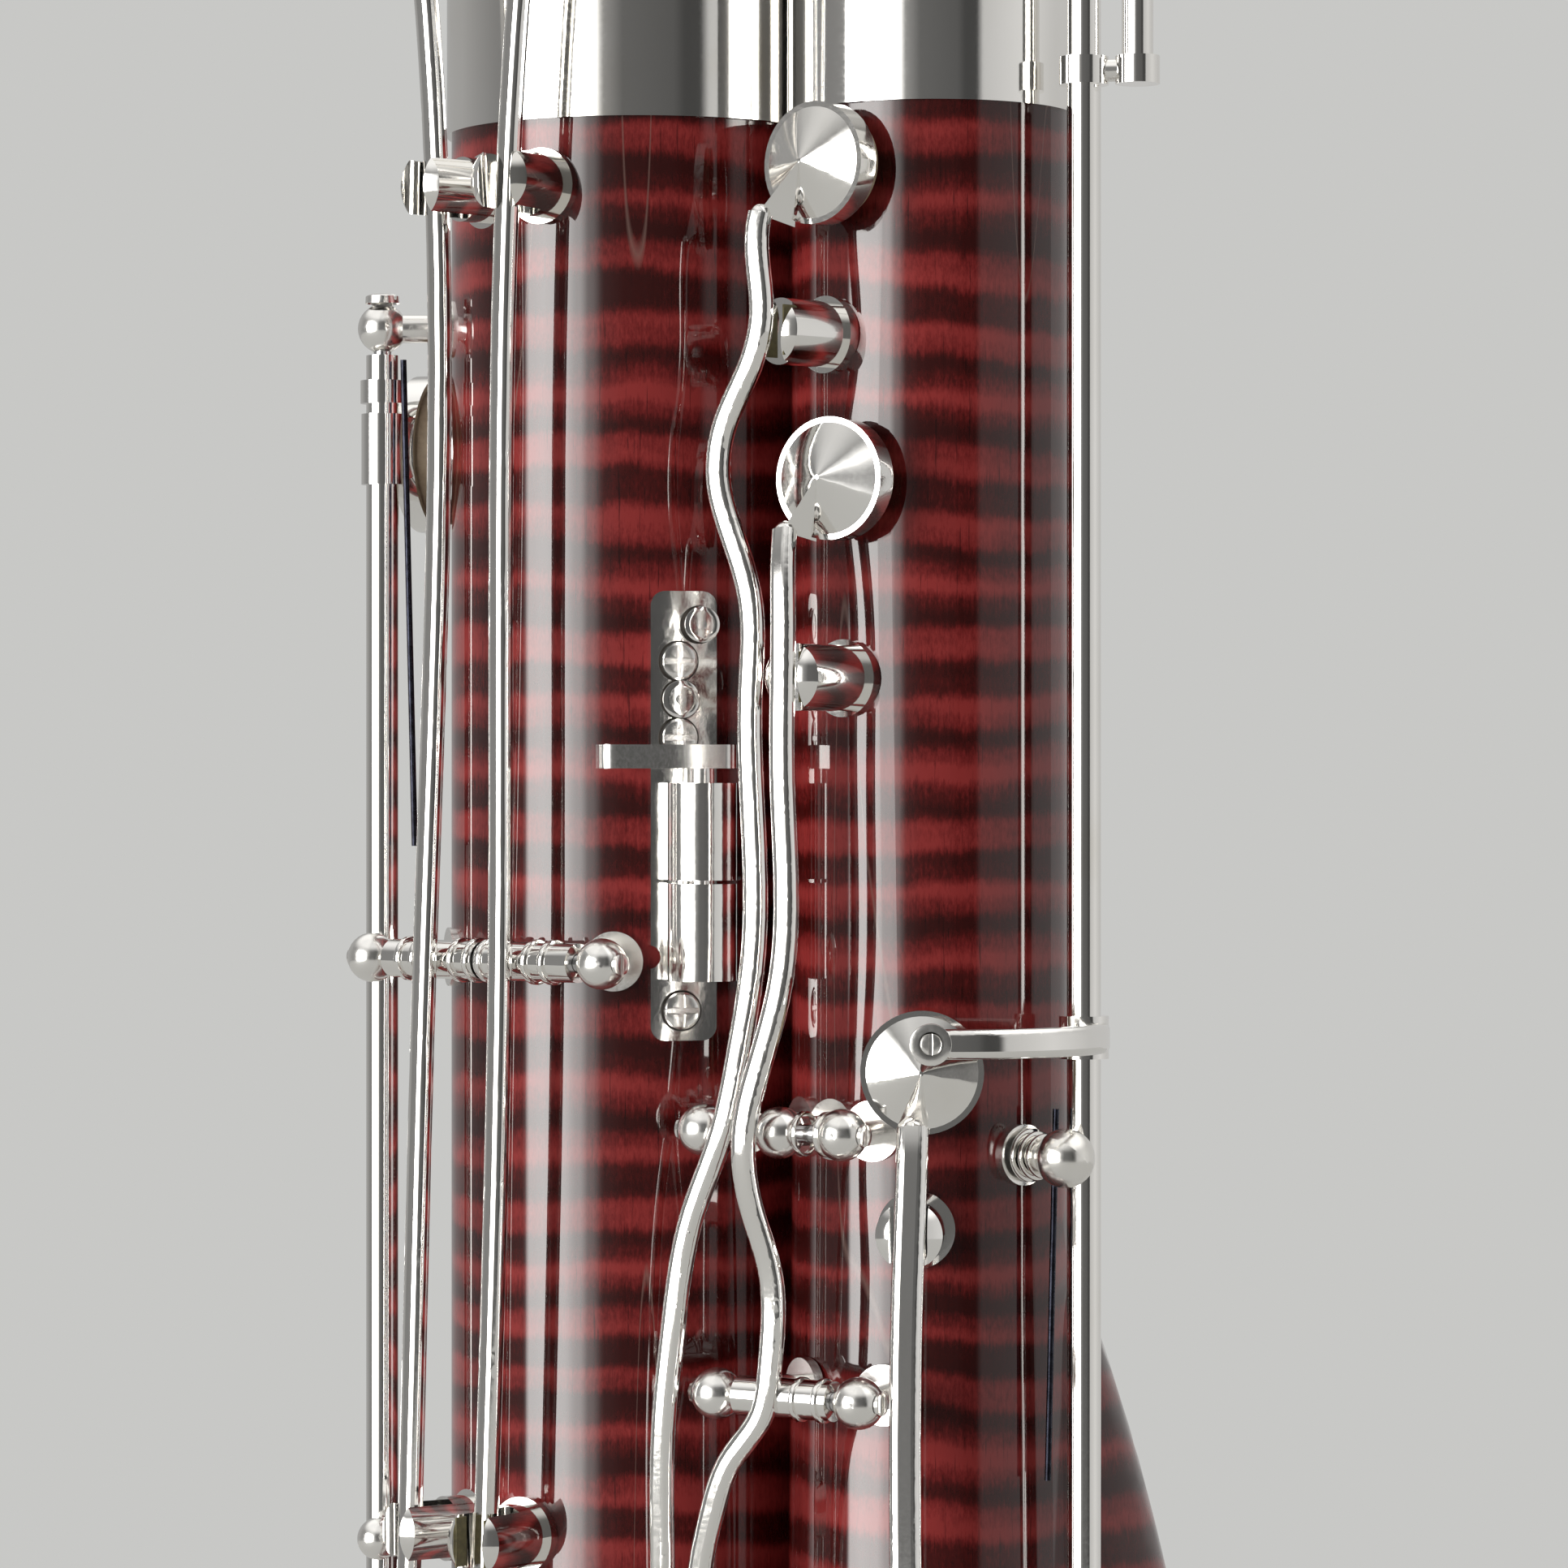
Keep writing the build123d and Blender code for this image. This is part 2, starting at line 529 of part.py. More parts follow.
with BuildPart() as bell_ferrule:
    with Locations((LONG_X, 0, LONG_TOP + 0.5)):
        Cylinder(LONG_R + BAND, BELL_FERRULE - 1, align=UPWARD)
        Cylinder(LONG_R, BELL_FERRULE - 1, align=UPWARD, mode=Mode.SUBTRACT)
save(bell_ferrule.part, "bell_ferrule")

with BuildPart() as bell_ring:
    with Locations((LONG_X, 0, BELL_TOP - 18)):
        Cylinder(29.6, 18, align=UPWARD)
    fillet(bell_ring.edges().filter_by(GeomType.CIRCLE).sort_by(Axis.Z)[-1], 2.0)
    bore(LONG_X, BELL_TOP - 18, BELL_TOP, 22.0, 24.0)
save(bell_ring.part, "bell_ring")

# Bocal: a tapered tube bent towards the player, with a straight end for the reed and a vent nib
BOCAL_TIP = (-200.0, 958.0)
BOCAL_SLEEVE = 8.0
VENT_Z = 928.0
NIB_TIP_Y = -6.6
with BuildPart() as bocal_tube:
    with BuildLine(mode=Mode.PRIVATE) as crook:
        Line((WING_X, 0, WING_TOP - 20), (WING_X, 0, 940))
        Spline((WING_X, 0, 940), (WING_X, -24, 1006), (WING_X, -80, 1030), (WING_X, -150, 1004),
               (WING_X, *BOCAL_TIP), tangents=[(0, 0, 1), (0, -0.82, -0.57)])
    ends = [Plane(origin=crook.line @ t, z_dir=crook.line % t) for t in (0, 1)]
    for place, radius in zip(ends, (4.1, 2.5)):
        with BuildSketch(place):
            Circle(radius)
    sweep(path=crook.line, multisection=True)
    for place, radius in zip(ends, (3.2, 1.9)):
        with BuildSketch(place):
            Circle(radius)
    sweep(path=crook.line, multisection=True, mode=Mode.SUBTRACT)
    tip = Vector(WING_X, *BOCAL_TIP)
    end = tip + (crook.line % 1) * BOCAL_SLEEVE
    rod(tip, end, 2.5)
    rod(tip, end, 1.9, mode=Mode.SUBTRACT)
    rod((WING_X, -3.5, VENT_Z), (WING_X, NIB_TIP_Y, VENT_Z), 1.6)
    rod((WING_X, -3.0, VENT_Z), (WING_X, NIB_TIP_Y - 0.4, VENT_Z), 0.5, mode=Mode.SUBTRACT)
save(bocal_tube.part, "bocal_tube")

with BuildPart() as bocal_cork:
    with Locations((WING_X, 0, WING_TOP - 18)):
        Cylinder(5.0, 28, align=UPWARD)
        Cylinder(4.15, 28, align=UPWARD, mode=Mode.SUBTRACT)
save(bocal_cork.part, "bocal_cork")

# Metal liners of the tone holes
with BuildPart() as tone_hole_liners:
    for axis_x, angle, z, radius, wood, rim in WING_HOLES + LONG_HOLES + UPPER_HOLES + BOOT_HOLES + BELL_HOLES:
        depth = 2.5 if z > LONG_TOP else LINER_DEPTH
        inner = polar(axis_x, angle, wood - depth, z)
        rod(inner, polar(axis_x, angle, rim, z), radius + LINER_WALL)
        rod(inner, polar(axis_x, angle, rim, z), radius, mode=Mode.SUBTRACT)
save(tone_hole_liners.part, "tone_hole_liners")

# Lock that holds the long joint to the wing joint
LOCK = across(LONG_X, 46, LONG_R, 791.5)
LOCK_HALF = 24.7
with BuildPart() as lock_plate:
    with BuildSketch(Plane(origin=spot(LOCK, 0, 0, -0.4), x_dir=LOCK.x_dir, z_dir=LOCK.z_dir)):
        RectangleRounded(7.4, 2 * LOCK_HALF, 1.6)
        with Locations((-3.9, -15.5)):
            Circle(1.3, mode=Mode.SUBTRACT)
    extrude(amount=1.5)
    for low, high in ((-18.0, -7.4), (-7.0, 3.6)):
        rod(spot(LOCK, 1.4, low, 4.4), spot(LOCK, 1.4, high, 4.4), 3.85)
    rod(spot(LOCK, 1.4, -19, 4.4), spot(LOCK, 1.4, 5, 4.4), 1.5, mode=Mode.SUBTRACT)
save(lock_plate.part, "lock_plate")

LOCK_SCREWS = [(-0.6, 17.0), (-0.6, 8.6), (-0.3, -21.4)]
LOCK_PEGS = [(1.7, 21.0, 1.9, 1.9), (-0.4, 12.8, 2.0, 0.65)]
with BuildPart() as lock_screws:
    for along, over in LOCK_SCREWS:
        rod(spot(LOCK, along, over, 1.1), spot(LOCK, along, over, 1.6), 2.05)
    for along, over in LOCK_SCREWS:
        with Locations(Plane(origin=spot(LOCK, along, over, 1.6), x_dir=LOCK.x_dir, z_dir=LOCK.z_dir).location):
            Box(3.0, 0.45, 0.6, mode=Mode.SUBTRACT)
            Box(0.45, 3.0, 0.6, mode=Mode.SUBTRACT)
    for along, over, radius, height in LOCK_PEGS:
        rod(spot(LOCK, along, over, 1.1), spot(LOCK, along, over, 1.1 + height), radius)
        rod(spot(LOCK, along, over, 0.9 + height), spot(LOCK, along, over, 1.3 + height), radius - 0.5,
            mode=Mode.SUBTRACT)
save(lock_screws.part, "lock_screws")

with BuildPart() as lock_slide:
    rod(spot(LOCK, 1.4, -16.5, 4.4), spot(LOCK, 1.4, 7.6, 4.4), 1.44)
    with BuildSketch(Plane(origin=spot(LOCK, 1.4, 5.2, 4.4), x_dir=LOCK.x_dir, z_dir=LOCK.y_dir)):
        with Locations((-4.0, 0)):
            RectangleRounded(15.4, 4.6, 1.6)
    extrude(amount=2.6)
save(lock_slide.part, "lock_slide")

# Posts
GUIDE_BALL_R = 3.2
with BuildPart() as long_posts:
    for hinge, balls in LONG_HINGES:
        for place in balls:
            centre = spot(hinge, place)
            ball_post(radial_foot(LONG_X, LONG_R, centre), centre)
    low_guide = polar(LONG_X, -44.0, 30.3, 710.0)
    ball_post(radial_foot(LONG_X, LONG_R, low_guide), low_guide, 2.4, 2.5)
    for hinge, balls in LONG_HINGES:
        rod(spot(hinge, balls[0] - 4), spot(hinge, balls[-1] + 4), STEEL_R + 0.02, mode=Mode.SUBTRACT)
save(long_posts.part, "long_joint_posts")

with BuildPart() as wing_posts:
    for hinge, balls in WING_HINGES:
        for place in balls:
            centre = spot(hinge, place)
            wood = WING_R if centre.Z > 740 else WING_LOW_R - 0.6
            wood = WING_R + BAND if centre.Z > FERRULE_Z else wood
            ball_post(radial_foot(WING_X, wood, centre), centre)
    guide = polar(WING_X, 71.0, 22.6, 755.0)
    ball_post(radial_foot(WING_X, WING_R, guide), guide, GUIDE_BALL_R)
    for hinge, balls in WING_HINGES:
        rod(spot(hinge, balls[0] - 4), spot(hinge, balls[-1] + 4), STEEL_R + 0.02, mode=Mode.SUBTRACT)
save(wing_posts.part, "wing_joint_posts")

with BuildPart() as boot_posts:
    for hinge in BOOT_HINGES:
        for place in SMALL_BALLS:
            centre = spot(hinge, place)
            ball_post(boot_foot(hinge, centre), centre)
    for hinge in BOOT_HINGES:
        rod(spot(hinge, -11), spot(hinge, 11), STEEL_R + 0.02, mode=Mode.SUBTRACT)
save(boot_posts.part, "boot_posts")

with BuildPart() as long_fork_guides:
    for angle, z in ((4.3, 861.0), (-17.5, 861.0), (-2.0, 712.0), (-25.5, 712.0)):
        fork_guide(LONG_X, LONG_R, angle, z, 32.6, LONG_FORK_FLOOR, LONG_FORK_SLOT)
save(long_fork_guides.part, "long_joint_fork_guides")

with BuildPart() as wing_fork_guides:
    fork_guide(WING_X, WING_R, -14.2, 843.6, 24.9, 22.6, 4.4, -12.0)
    fork_guide(WING_X, WING_R, -4.7, 806.4, 26.6, 24.2)
    fork_guide(WING_X, WING_R, 26.0, 747.2, 25.6, 22.4, 4.1)
save(wing_fork_guides.part, "wing_joint_fork_guides")

# Hinge steels, one through each pair of posts
def steels(hinges):
    for hinge, balls in hinges:
        rod(spot(hinge, balls[0] - 2.4), spot(hinge, balls[-1] + 2.4), STEEL_R)


with BuildPart() as long_steels:
    steels(LONG_HINGES)
save(long_steels.part, "long_joint_hinge_steels")

with BuildPart() as wing_steels:
    steels(WING_HINGES)
save(wing_steels.part, "wing_joint_hinge_steels")

with BuildPart() as boot_steels:
    steels([(hinge, SMALL_BALLS) for hinge in BOOT_HINGES])
save(boot_steels.part, "boot_hinge_steels")

with BuildPart() as needle_springs:
    rod(polar(LONG_X, -49.0, 27.2, 843.0), polar(LONG_X, -47.0, 26.0, 788.0), 0.35)
    rod(polar(LONG_X, -107.0, 27.0, 646.0), polar(LONG_X, -105.0, 26.0, 600.0), 0.35)
    rod(polar(WING_X, 78.0, 18.6, 760.0), polar(WING_X, 76.0, 18.0, 720.0), 0.35)
save(needle_springs.part, "needle_springs")


# Keys
def tube_ends(balls):
    """Ends of a hinge tube that runs between two balls."""
    return balls[0] + BALL_R + BALL_GAP, balls[-1] - BALL_R - BALL_GAP


with BuildPart() as low_b_flat_lever:
    hinge_tube(LEVER_HINGE, LEVER_BALLS[0] + BALL_R + 0.7, -0.2)
    strip(LEVER_HINGE, [(-9.6, 129.5, BAR_LIFT), (-4.4, 85.5, BAR_LIFT), (-6.3, 0, BAR_LIFT),
                        (-8.6, -63.5, BAR_LIFT), (-12.5, -160, BAR_LIFT)])
    touch(LEVER_HINGE, -12.5, -178, BAR_LIFT - 1.0, 11, 42)
    hinge_bore(LEVER_HINGE, *LEVER_BALLS)
save(low_b_flat_lever.part, "low_b_flat_lever")

with BuildPart() as low_b_lever:
    hinge_tube(LEVER_HINGE, 0.2, LEVER_BALLS[1] - BALL_R - 0.7)
    strip(LEVER_HINGE, [(11.6, 129.5, BAR_LIFT), (6.6, 85.5, BAR_LIFT), (5.4, 0, BAR_LIFT),
                        (3.2, -63.5, BAR_LIFT), (1.0, -150, BAR_LIFT)])
    touch(LEVER_HINGE, 1.0, -168, BAR_LIFT - 1.0, 11, 42)
    hinge_bore(LEVER_HINGE, *LEVER_BALLS)
save(low_b_lever.part, "low_b_lever")


def relay_key(hinge, tail, tail_out, cup_over, seat, cup_r):
    """Key that a long lever pushes from underneath: a tail below the hinge and a cup above it."""
    cup(seat_plane(hinge, 0, cup_over, seat), cup_r)
    hinge_tube(hinge, *tube_ends(SMALL_BALLS))
    strip(hinge, [(0, tail, tail_out), (0, tail * 0.45, tail_out * 0.75), (0, 0, BAR_LIFT - 0.6),
                  (0, cup_over * 0.5, BAR_LIFT + 0.6), (0, cup_over, seat + CUP_APEX - 0.8)])
    hinge_bore(hinge, *SMALL_BALLS)


with BuildPart() as low_b_flat_key:
    relay_key(LOW_B_FLAT_HINGE, -49, 10.4, 117, BELL_SEAT - 25.4, 11.5)
save(low_b_flat_key.part, "low_b_flat_key")

with BuildPart() as low_b_flat_pad:
    pad(seat_plane(LOW_B_FLAT_HINGE, 0, 117, BELL_SEAT - 25.4), 11.5)
save(low_b_flat_pad.part, "low_b_flat_pad")

with BuildPart() as low_b_key:
    relay_key(LOW_B_HINGE, -26, 11.4, 40, LONG_SEAT - 25.4, 11.5)
save(low_b_key.part, "low_b_key")

with BuildPart() as low_b_pad:
    pad(seat_plane(LOW_B_HINGE, 0, 40, LONG_SEAT - 25.4), 11.5)
save(low_b_pad.part, "low_b_pad")


def pressed_key(hinge, touch_over, touch_size, cup_over, seat, cup_r):
    """Key that closes when pressed: hinge, touch and cup in one line, with its pad."""
    cup(seat_plane(hinge, 0, cup_over, seat), cup_r)
    hinge_tube(hinge, *tube_ends(SMALL_BALLS))
    strip(hinge, [(0, 0, BAR_LIFT - 0.6), (0, cup_over, seat + CUP_APEX - 0.8)], 3.6, 2.4)
    if touch_over:
        touch(hinge, 0, touch_over, 2.2, *touch_size)
    hinge_bore(hinge, *SMALL_BALLS)
    pad(seat_plane(hinge, 0, cup_over, seat), cup_r)


with BuildPart() as low_c_key:
    pressed_key(LOW_C_HINGE, -26, (12, 20), -60, LONG_SEAT - 27.0, 12.0)
save(low_c_key.part, "low_c_key")

with BuildPart() as low_d_key:
    pressed_key(LOW_D_HINGE, -34, (12, 24), -88, LONG_SEAT - 27.0, 11.0)
save(low_d_key.part, "low_d_key")


def rod_key(hinge, balls, axis_x, cup_angle, cup_z, seat, cup_r, touch_angle, touch_z, touch_width):
    """Key on a long upright rod, with its cup near one end and its touch near the other."""
    rim = across(axis_x, cup_angle, seat, cup_z)
    cup(rim, cup_r)
    hinge_tube(hinge, *tube_ends(balls), ROD_R)
    rod(spot(hinge, balls[-1] - 8.5), spot(hinge, balls[-1] - 5.9), 2.5)
    rod(spot(hinge, cup_z - 4 - hinge.origin.Z), spot(hinge, cup_z + 4 - hinge.origin.Z), 2.4)
    rod(spot(hinge, cup_z - hinge.origin.Z), spot(rim, 0, 0, CUP_APEX - 1.2), 1.5)
    paddle = across(axis_x, touch_angle, hinge_radius(hinge, axis_x) + 3.0, touch_z)
    rod(spot(hinge, touch_z - hinge.origin.Z), spot(paddle, 0, 0, 1.0), 1.6)
    touch(paddle, 0, 0, 0, touch_width, 22)
    hinge_bore(hinge, *balls)


def hinge_radius(hinge, axis_x):
    """Distance of a hinge from its joint's axis."""
    return Vector(hinge.origin.X - axis_x, hinge.origin.Y, 0).length


with BuildPart() as low_e_flat_key:
    rod_key(LOW_E_FLAT_HINGE, LOW_E_FLAT_BALLS, LONG_X, -75, 833, LONG_SEAT, 9.0, -42, 645, 8)
save(low_e_flat_key.part, "low_e_flat_key")

with BuildPart() as low_e_flat_pad:
    pad(across(LONG_X, -75, LONG_SEAT, 833), 9.0)
save(low_e_flat_pad.part, "low_e_flat_pad")

with BuildPart() as low_c_sharp_key:
    rod_key(LOW_C_SHARP_HINGE, LOW_C_SHARP_BALLS, LONG_X, -133, 630, LONG_SEAT, 9.0, -92, 545, 12)
    pad(across(LONG_X, -133, LONG_SEAT, 630), 9.0)
save(low_c_sharp_key.part, "low_c_sharp_key")

with BuildPart() as flick_a_key:
    rim = across(WING_X, -5.6, VENT_SEAT, 861.6)
    cup(rim, VENT_CUP_R)
    hinge_tube(FLICK_A_HINGE, FLICK_A_BALLS[0] + 3.05, FLICK_A_BALLS[1] - 3.05)
    ridge(rim, spot(FLICK_A_HINGE, -6.9, 98.4, 0.7))
    nose(spot(FLICK_A_HINGE, -6.9, 98.4, 0.2))
    strip(FLICK_A_HINGE, [(-6.9, 98.4, 0.2), (-6.8, 94.5, 1.0), (-5.9, 87.4, 1.5), (-7.3, 82.2, 1.5),
                          (-10.5, 76.1, 1.5), (-11.4, 70.0, 1.5), (-9.6, 63.9, 1.5), (-7.3, 57.0, 1.5),
                          (-7.3, 47.0, 1.5), (-6.95, 18.7, 1.5), (-8.2, 9.1, 2.2), (-10.2, -0.4, 2.9),
                          (-13.8, -9.1, 3.0), (-16.4, -22.2, 3.0), (-17.5, -30.0, 2.8), (-18.2, -46.7, 2.2),
                          (-19.2, -70.0, 1.6)])
    touch(FLICK_A_HINGE, -19.5, -82, 0.6, 9, 26)
    hinge_bore(FLICK_A_HINGE, FLICK_A_BALLS[0], FLICK_A_BALLS[1])
save(flick_a_key.part, "flick_a_key")

with BuildPart() as flick_a_pad:
    pad(across(WING_X, -5.6, VENT_SEAT, 861.6), VENT_CUP_R)
save(flick_a_pad.part, "flick_a_pad")

with BuildPart() as flick_c_key:
    rim = across(WING_X, 0, VENT_SEAT, 827.7)
    cup(rim, VENT_CUP_R)
    hinge_tube(FLICK_C_HINGE, *tube_ends(FLICK_C_BALLS))
    ridge(rim, spot(FLICK_C_HINGE, -3.6, 92.6, 0.5))
    nose(spot(FLICK_C_HINGE, -3.6, 92.6, 0.0))
    strip(FLICK_C_HINGE, [(-3.6, 92.6, 0.0), (-3.2, 90.0, 0.9), (-2.35, 84.0, 2.2), (-2.2, 66.0, 2.6),
                          (-2.4, 44.0, 2.8), (-4.2, 36.0, 3.8), (-5.75, 28.3, 4.6), (-5.3, 20.0, 3.6),
                          (-3.95, 13.9, 2.4), (-4.15, 3.5, 2.0), (-5.25, -1.7, 2.0), (-9.35, -6.9, 1.8),
                          (-11.95, -13.0, 1.6), (-13.4, -18.4, 1.4), (-12.5, -34.0, 1.2), (-9.0, -52.0, 1.0)])
    touch(FLICK_C_HINGE, -8.0, -62, 0.0, 9, 26)
    hinge_bore(FLICK_C_HINGE, *FLICK_C_BALLS)
save(flick_c_key.part, "flick_c_key")

with BuildPart() as flick_c_pad:
    pad(across(WING_X, 0, VENT_SEAT, 827.7), VENT_CUP_R)
save(flick_c_pad.part, "flick_c_pad")

with BuildPart() as high_d_key:
    rim = across(WING_X, 29, VENT_SEAT, 764.3)
    cup(rim, VENT_CUP_R)
    hinge_tube(HIGH_D_HINGE, *tube_ends(SMALL_BALLS))
    ridge(rim, spot(HIGH_D_HINGE, 0.3, 66.4, 1.5), 2.2)
    nose(spot(HIGH_D_HINGE, 0.3, 66.4, 0.9), 1.2)
    strip(HIGH_D_HINGE, [(0.3, 66.4, 0.9), (0.3, 62.0, 2.3), (0, 52, BAR_LIFT), (0, 0, BAR_LIFT), (0, -38, BAR_LIFT)],
          3.4, 2.4)
    touch(HIGH_D_HINGE, 0, -46, BAR_LIFT - 1, 9, 24)
    hinge_bore(HIGH_D_HINGE, *SMALL_BALLS)
save(high_d_key.part, "high_d_key")

with BuildPart() as high_d_pad:
    pad(across(WING_X, 29, VENT_SEAT, 764.3), VENT_CUP_R)
save(high_d_pad.part, "high_d_pad")


def rocker_key(hinge, touch_over, touch_size, cup_over, seat, cup_r):
    """Key that opens when pressed: its touch and its cup are on opposite sides of the hinge."""
    cup(seat_plane(hinge, 0, cup_over, seat), cup_r)
    hinge_tube(hinge, *tube_ends(SMALL_BALLS))
    strip(hinge, [(0, touch_over, BAR_LIFT - 0.4), (0, 0, BAR_LIFT - 0.6), (0, cup_over, seat + CUP_APEX - 0.8)],
          3.4, 2.4)
    touch(hinge, 0, touch_over, BAR_LIFT - 1.2, *touch_size)
    hinge_bore(hinge, *SMALL_BALLS)
    pad(seat_plane(hinge, 0, cup_over, seat), cup_r)


with BuildPart() as c_sharp_key:
    rocker_key(C_SHARP_HINGE, 14, (10, 14), -35, WING_LOW_R + 0.8 - 22.5, 7.0)
save(c_sharp_key.part, "c_sharp_key")

# Whisper key: a long rod up the wing joint to the bocal's vent, with an arm that reaches over the high D cup
WHISPER_LIFT = 2.1
WHISPER_DRIFT = 0.9
with BuildPart() as whisper_key:
    hinge_tube(WHISPER_HINGE, *tube_ends(WHISPER_BALLS), ROD_R)
    clamp_z = 871.9
    rod(spot(WHISPER_HINGE, clamp_z - 771.5), spot(WHISPER_HINGE, clamp_z - 768.5), 2.7)
    second = polar(WING_X, 92.0, 25.6, clamp_z - 1.5)
    rod(second, second + Vector(0, 0, 3.0), 2.4)
    rod(second + Vector(0, 0, 1.5), Vector(*spot(WHISPER_HINGE, clamp_z - 770)), 1.2)
    rod(second, second + Vector(0, 0, 58), 1.7)
    arm = [polar(WING_X, angle, radius, 767.7) for angle, radius in
           ((86, 22.6), (72, 26.0), (54, 28.6), (31.5, 29.0))]
    with BuildLine(mode=Mode.PRIVATE) as bow:
        Spline(*arm)
    with BuildSketch(Plane(origin=bow.line @ 0, x_dir=(0, 0, 1), z_dir=bow.line % 0)):
        RectangleRounded(3.2, 1.8, 0.85)
    sweep(path=bow.line)
    rod(spot(WHISPER_HINGE, -4.6), spot(WHISPER_HINGE, 0.0), 2.7)
    rod(polar(WING_X, 31.5, 27.4, 767.7), polar(WING_X, 31.5, 30.2, 767.7), 2.15)
    rod(polar(WING_X, 31.5, 28.6, 767.7), polar(WING_X, 31.5, 30.4, 767.7), 1.35, mode=Mode.SUBTRACT)
    rod(polar(WING_X, 31.5, 27.2, 767.7), polar(WING_X, 31.5, 29.6, 767.7), 1.1)
    vent = Plane(origin=(WING_X + WHISPER_DRIFT, NIB_TIP_Y - PAD_GAP - WHISPER_LIFT, VENT_Z),
                 x_dir=(1, 0, 0), z_dir=(0, -1, 0))
    elbow = spot(vent, 12, 0, 2.9)
    with Locations(vent.location):
        with Locations((0, 0, 1.4)):
            Cylinder(4.0, 1.6, align=UPWARD)
    rod(spot(vent, 0, 0, 2.9), elbow, 1.2)
    rod(elbow, spot(WHISPER_HINGE, VENT_Z - 770), 1.2)
    rod(spot(WHISPER_HINGE, VENT_Z - 773), spot(WHISPER_HINGE, VENT_Z - 767), 2.6)
    paddle = across(WING_X, 40, 25.0, 622)
    rod(spot(WHISPER_HINGE, -148), spot(paddle, 0, 0, 1.0), 1.6)
    touch(paddle, 0, 0, 0, 11, 24)
    hinge_bore(WHISPER_HINGE, *WHISPER_BALLS)
save(whisper_key.part, "whisper_key")

with BuildPart() as whisper_pad:
    with Locations(vent.location):
        Cylinder(3.4, 1.35, align=UPWARD)
save(whisper_pad.part, "whisper_pad")

with BuildPart() as low_e_key:
    pressed_key(LOW_E_HINGE, 0, None, -38, BOOT_SEAT - BOOT_LIFT, 14.0)
save(low_e_key.part, "low_e_key")

with BuildPart() as b_flat_thumb_key:
    rocker_key(B_FLAT_HINGE, -24, (11, 18), 30, BOOT_SEAT - BOOT_LIFT, 7.5)
save(b_flat_thumb_key.part, "b_flat_thumb_key")

with BuildPart() as f_sharp_thumb_key:
    rocker_key(F_SHARP_HINGE, 22, (11, 18), -30, BOOT_SEAT - BOOT_LIFT, 9.5)
save(f_sharp_thumb_key.part, "f_sharp_thumb_key")

with BuildPart() as g_sharp_thumb_key:
    rocker_key(G_SHARP_HINGE, 22, (11, 18), -32, BOOT_SEAT - BOOT_LIFT, 9.5)
save(g_sharp_thumb_key.part, "g_sharp_thumb_key")

with BuildPart() as g_key:
    pressed_key(G_HINGE, 0, None, -27, BOOT_SEAT - BOOT_LIFT, 9.0)
save(g_key.part, "g_key")

with BuildPart() as low_f_key:
    pressed_key(LOW_F_HINGE, -22, (12, 18), -52, BOOT_SEAT - BOOT_LIFT, 13.0)
save(low_f_key.part, "low_f_key")

with BuildPart() as f_sharp_pinky_key:
    rocker_key(F_SHARP_PINKY_HINGE, 18, (11, 15), -30, BOOT_SEAT - BOOT_LIFT, 8.5)
save(f_sharp_pinky_key.part, "f_sharp_pinky_key")

with BuildPart() as g_sharp_pinky_key:
    rocker_key(G_SHARP_PINKY_HINGE, 18, (11, 15), -30, BOOT_SEAT - BOOT_LIFT, 8.5)
save(g_sharp_pinky_key.part, "g_sharp_pinky_key")
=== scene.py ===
"""Looks of the bassoon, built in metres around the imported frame: materials, fittings, light and camera."""

import json
from math import cos, pi, radians, sin

import bpy
from mathutils import Matrix, Vector


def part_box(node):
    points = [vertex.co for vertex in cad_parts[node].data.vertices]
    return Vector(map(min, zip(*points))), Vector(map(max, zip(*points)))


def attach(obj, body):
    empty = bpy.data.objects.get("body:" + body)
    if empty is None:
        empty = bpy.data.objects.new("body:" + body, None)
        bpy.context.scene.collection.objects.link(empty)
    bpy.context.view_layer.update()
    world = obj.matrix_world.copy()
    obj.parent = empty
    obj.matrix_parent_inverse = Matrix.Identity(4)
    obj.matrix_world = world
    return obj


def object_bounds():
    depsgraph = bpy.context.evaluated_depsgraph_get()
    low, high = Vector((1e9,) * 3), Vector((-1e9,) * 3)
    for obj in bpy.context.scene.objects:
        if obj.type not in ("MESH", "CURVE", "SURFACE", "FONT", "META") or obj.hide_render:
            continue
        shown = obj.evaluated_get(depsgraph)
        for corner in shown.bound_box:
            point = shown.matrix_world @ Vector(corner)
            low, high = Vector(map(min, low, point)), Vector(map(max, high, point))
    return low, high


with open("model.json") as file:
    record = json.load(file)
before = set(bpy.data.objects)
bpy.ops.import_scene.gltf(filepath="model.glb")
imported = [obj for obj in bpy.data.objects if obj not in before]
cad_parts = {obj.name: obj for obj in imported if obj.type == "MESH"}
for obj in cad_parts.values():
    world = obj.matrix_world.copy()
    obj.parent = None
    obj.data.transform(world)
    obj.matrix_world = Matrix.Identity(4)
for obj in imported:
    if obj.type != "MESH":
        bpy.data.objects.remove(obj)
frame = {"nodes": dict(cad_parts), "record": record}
cad_low, cad_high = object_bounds()
MM = 0.001


def middle(node):
    """Centre of a CAD node's box."""
    low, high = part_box(node)
    return (low + high) / 2


WING_AXIS = middle("wing_ferrule")
LONG_AXIS = middle("long_joint_band")
FERRULE_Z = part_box("wing_ferrule")[0].z
JOINTS = {joint["name"]: joint for joint in frame["record"]["behaviour"]["joints"]}

# ---------------------------------------------------------------- camera, stage and light

VIEW_TURN = radians(33.0)
VIEW_DISTANCE = 0.620
VIEW_HEIGHT = FERRULE_Z - 0.0735
VIEW_WIDTH = 0.1756
SENSOR = 36.0

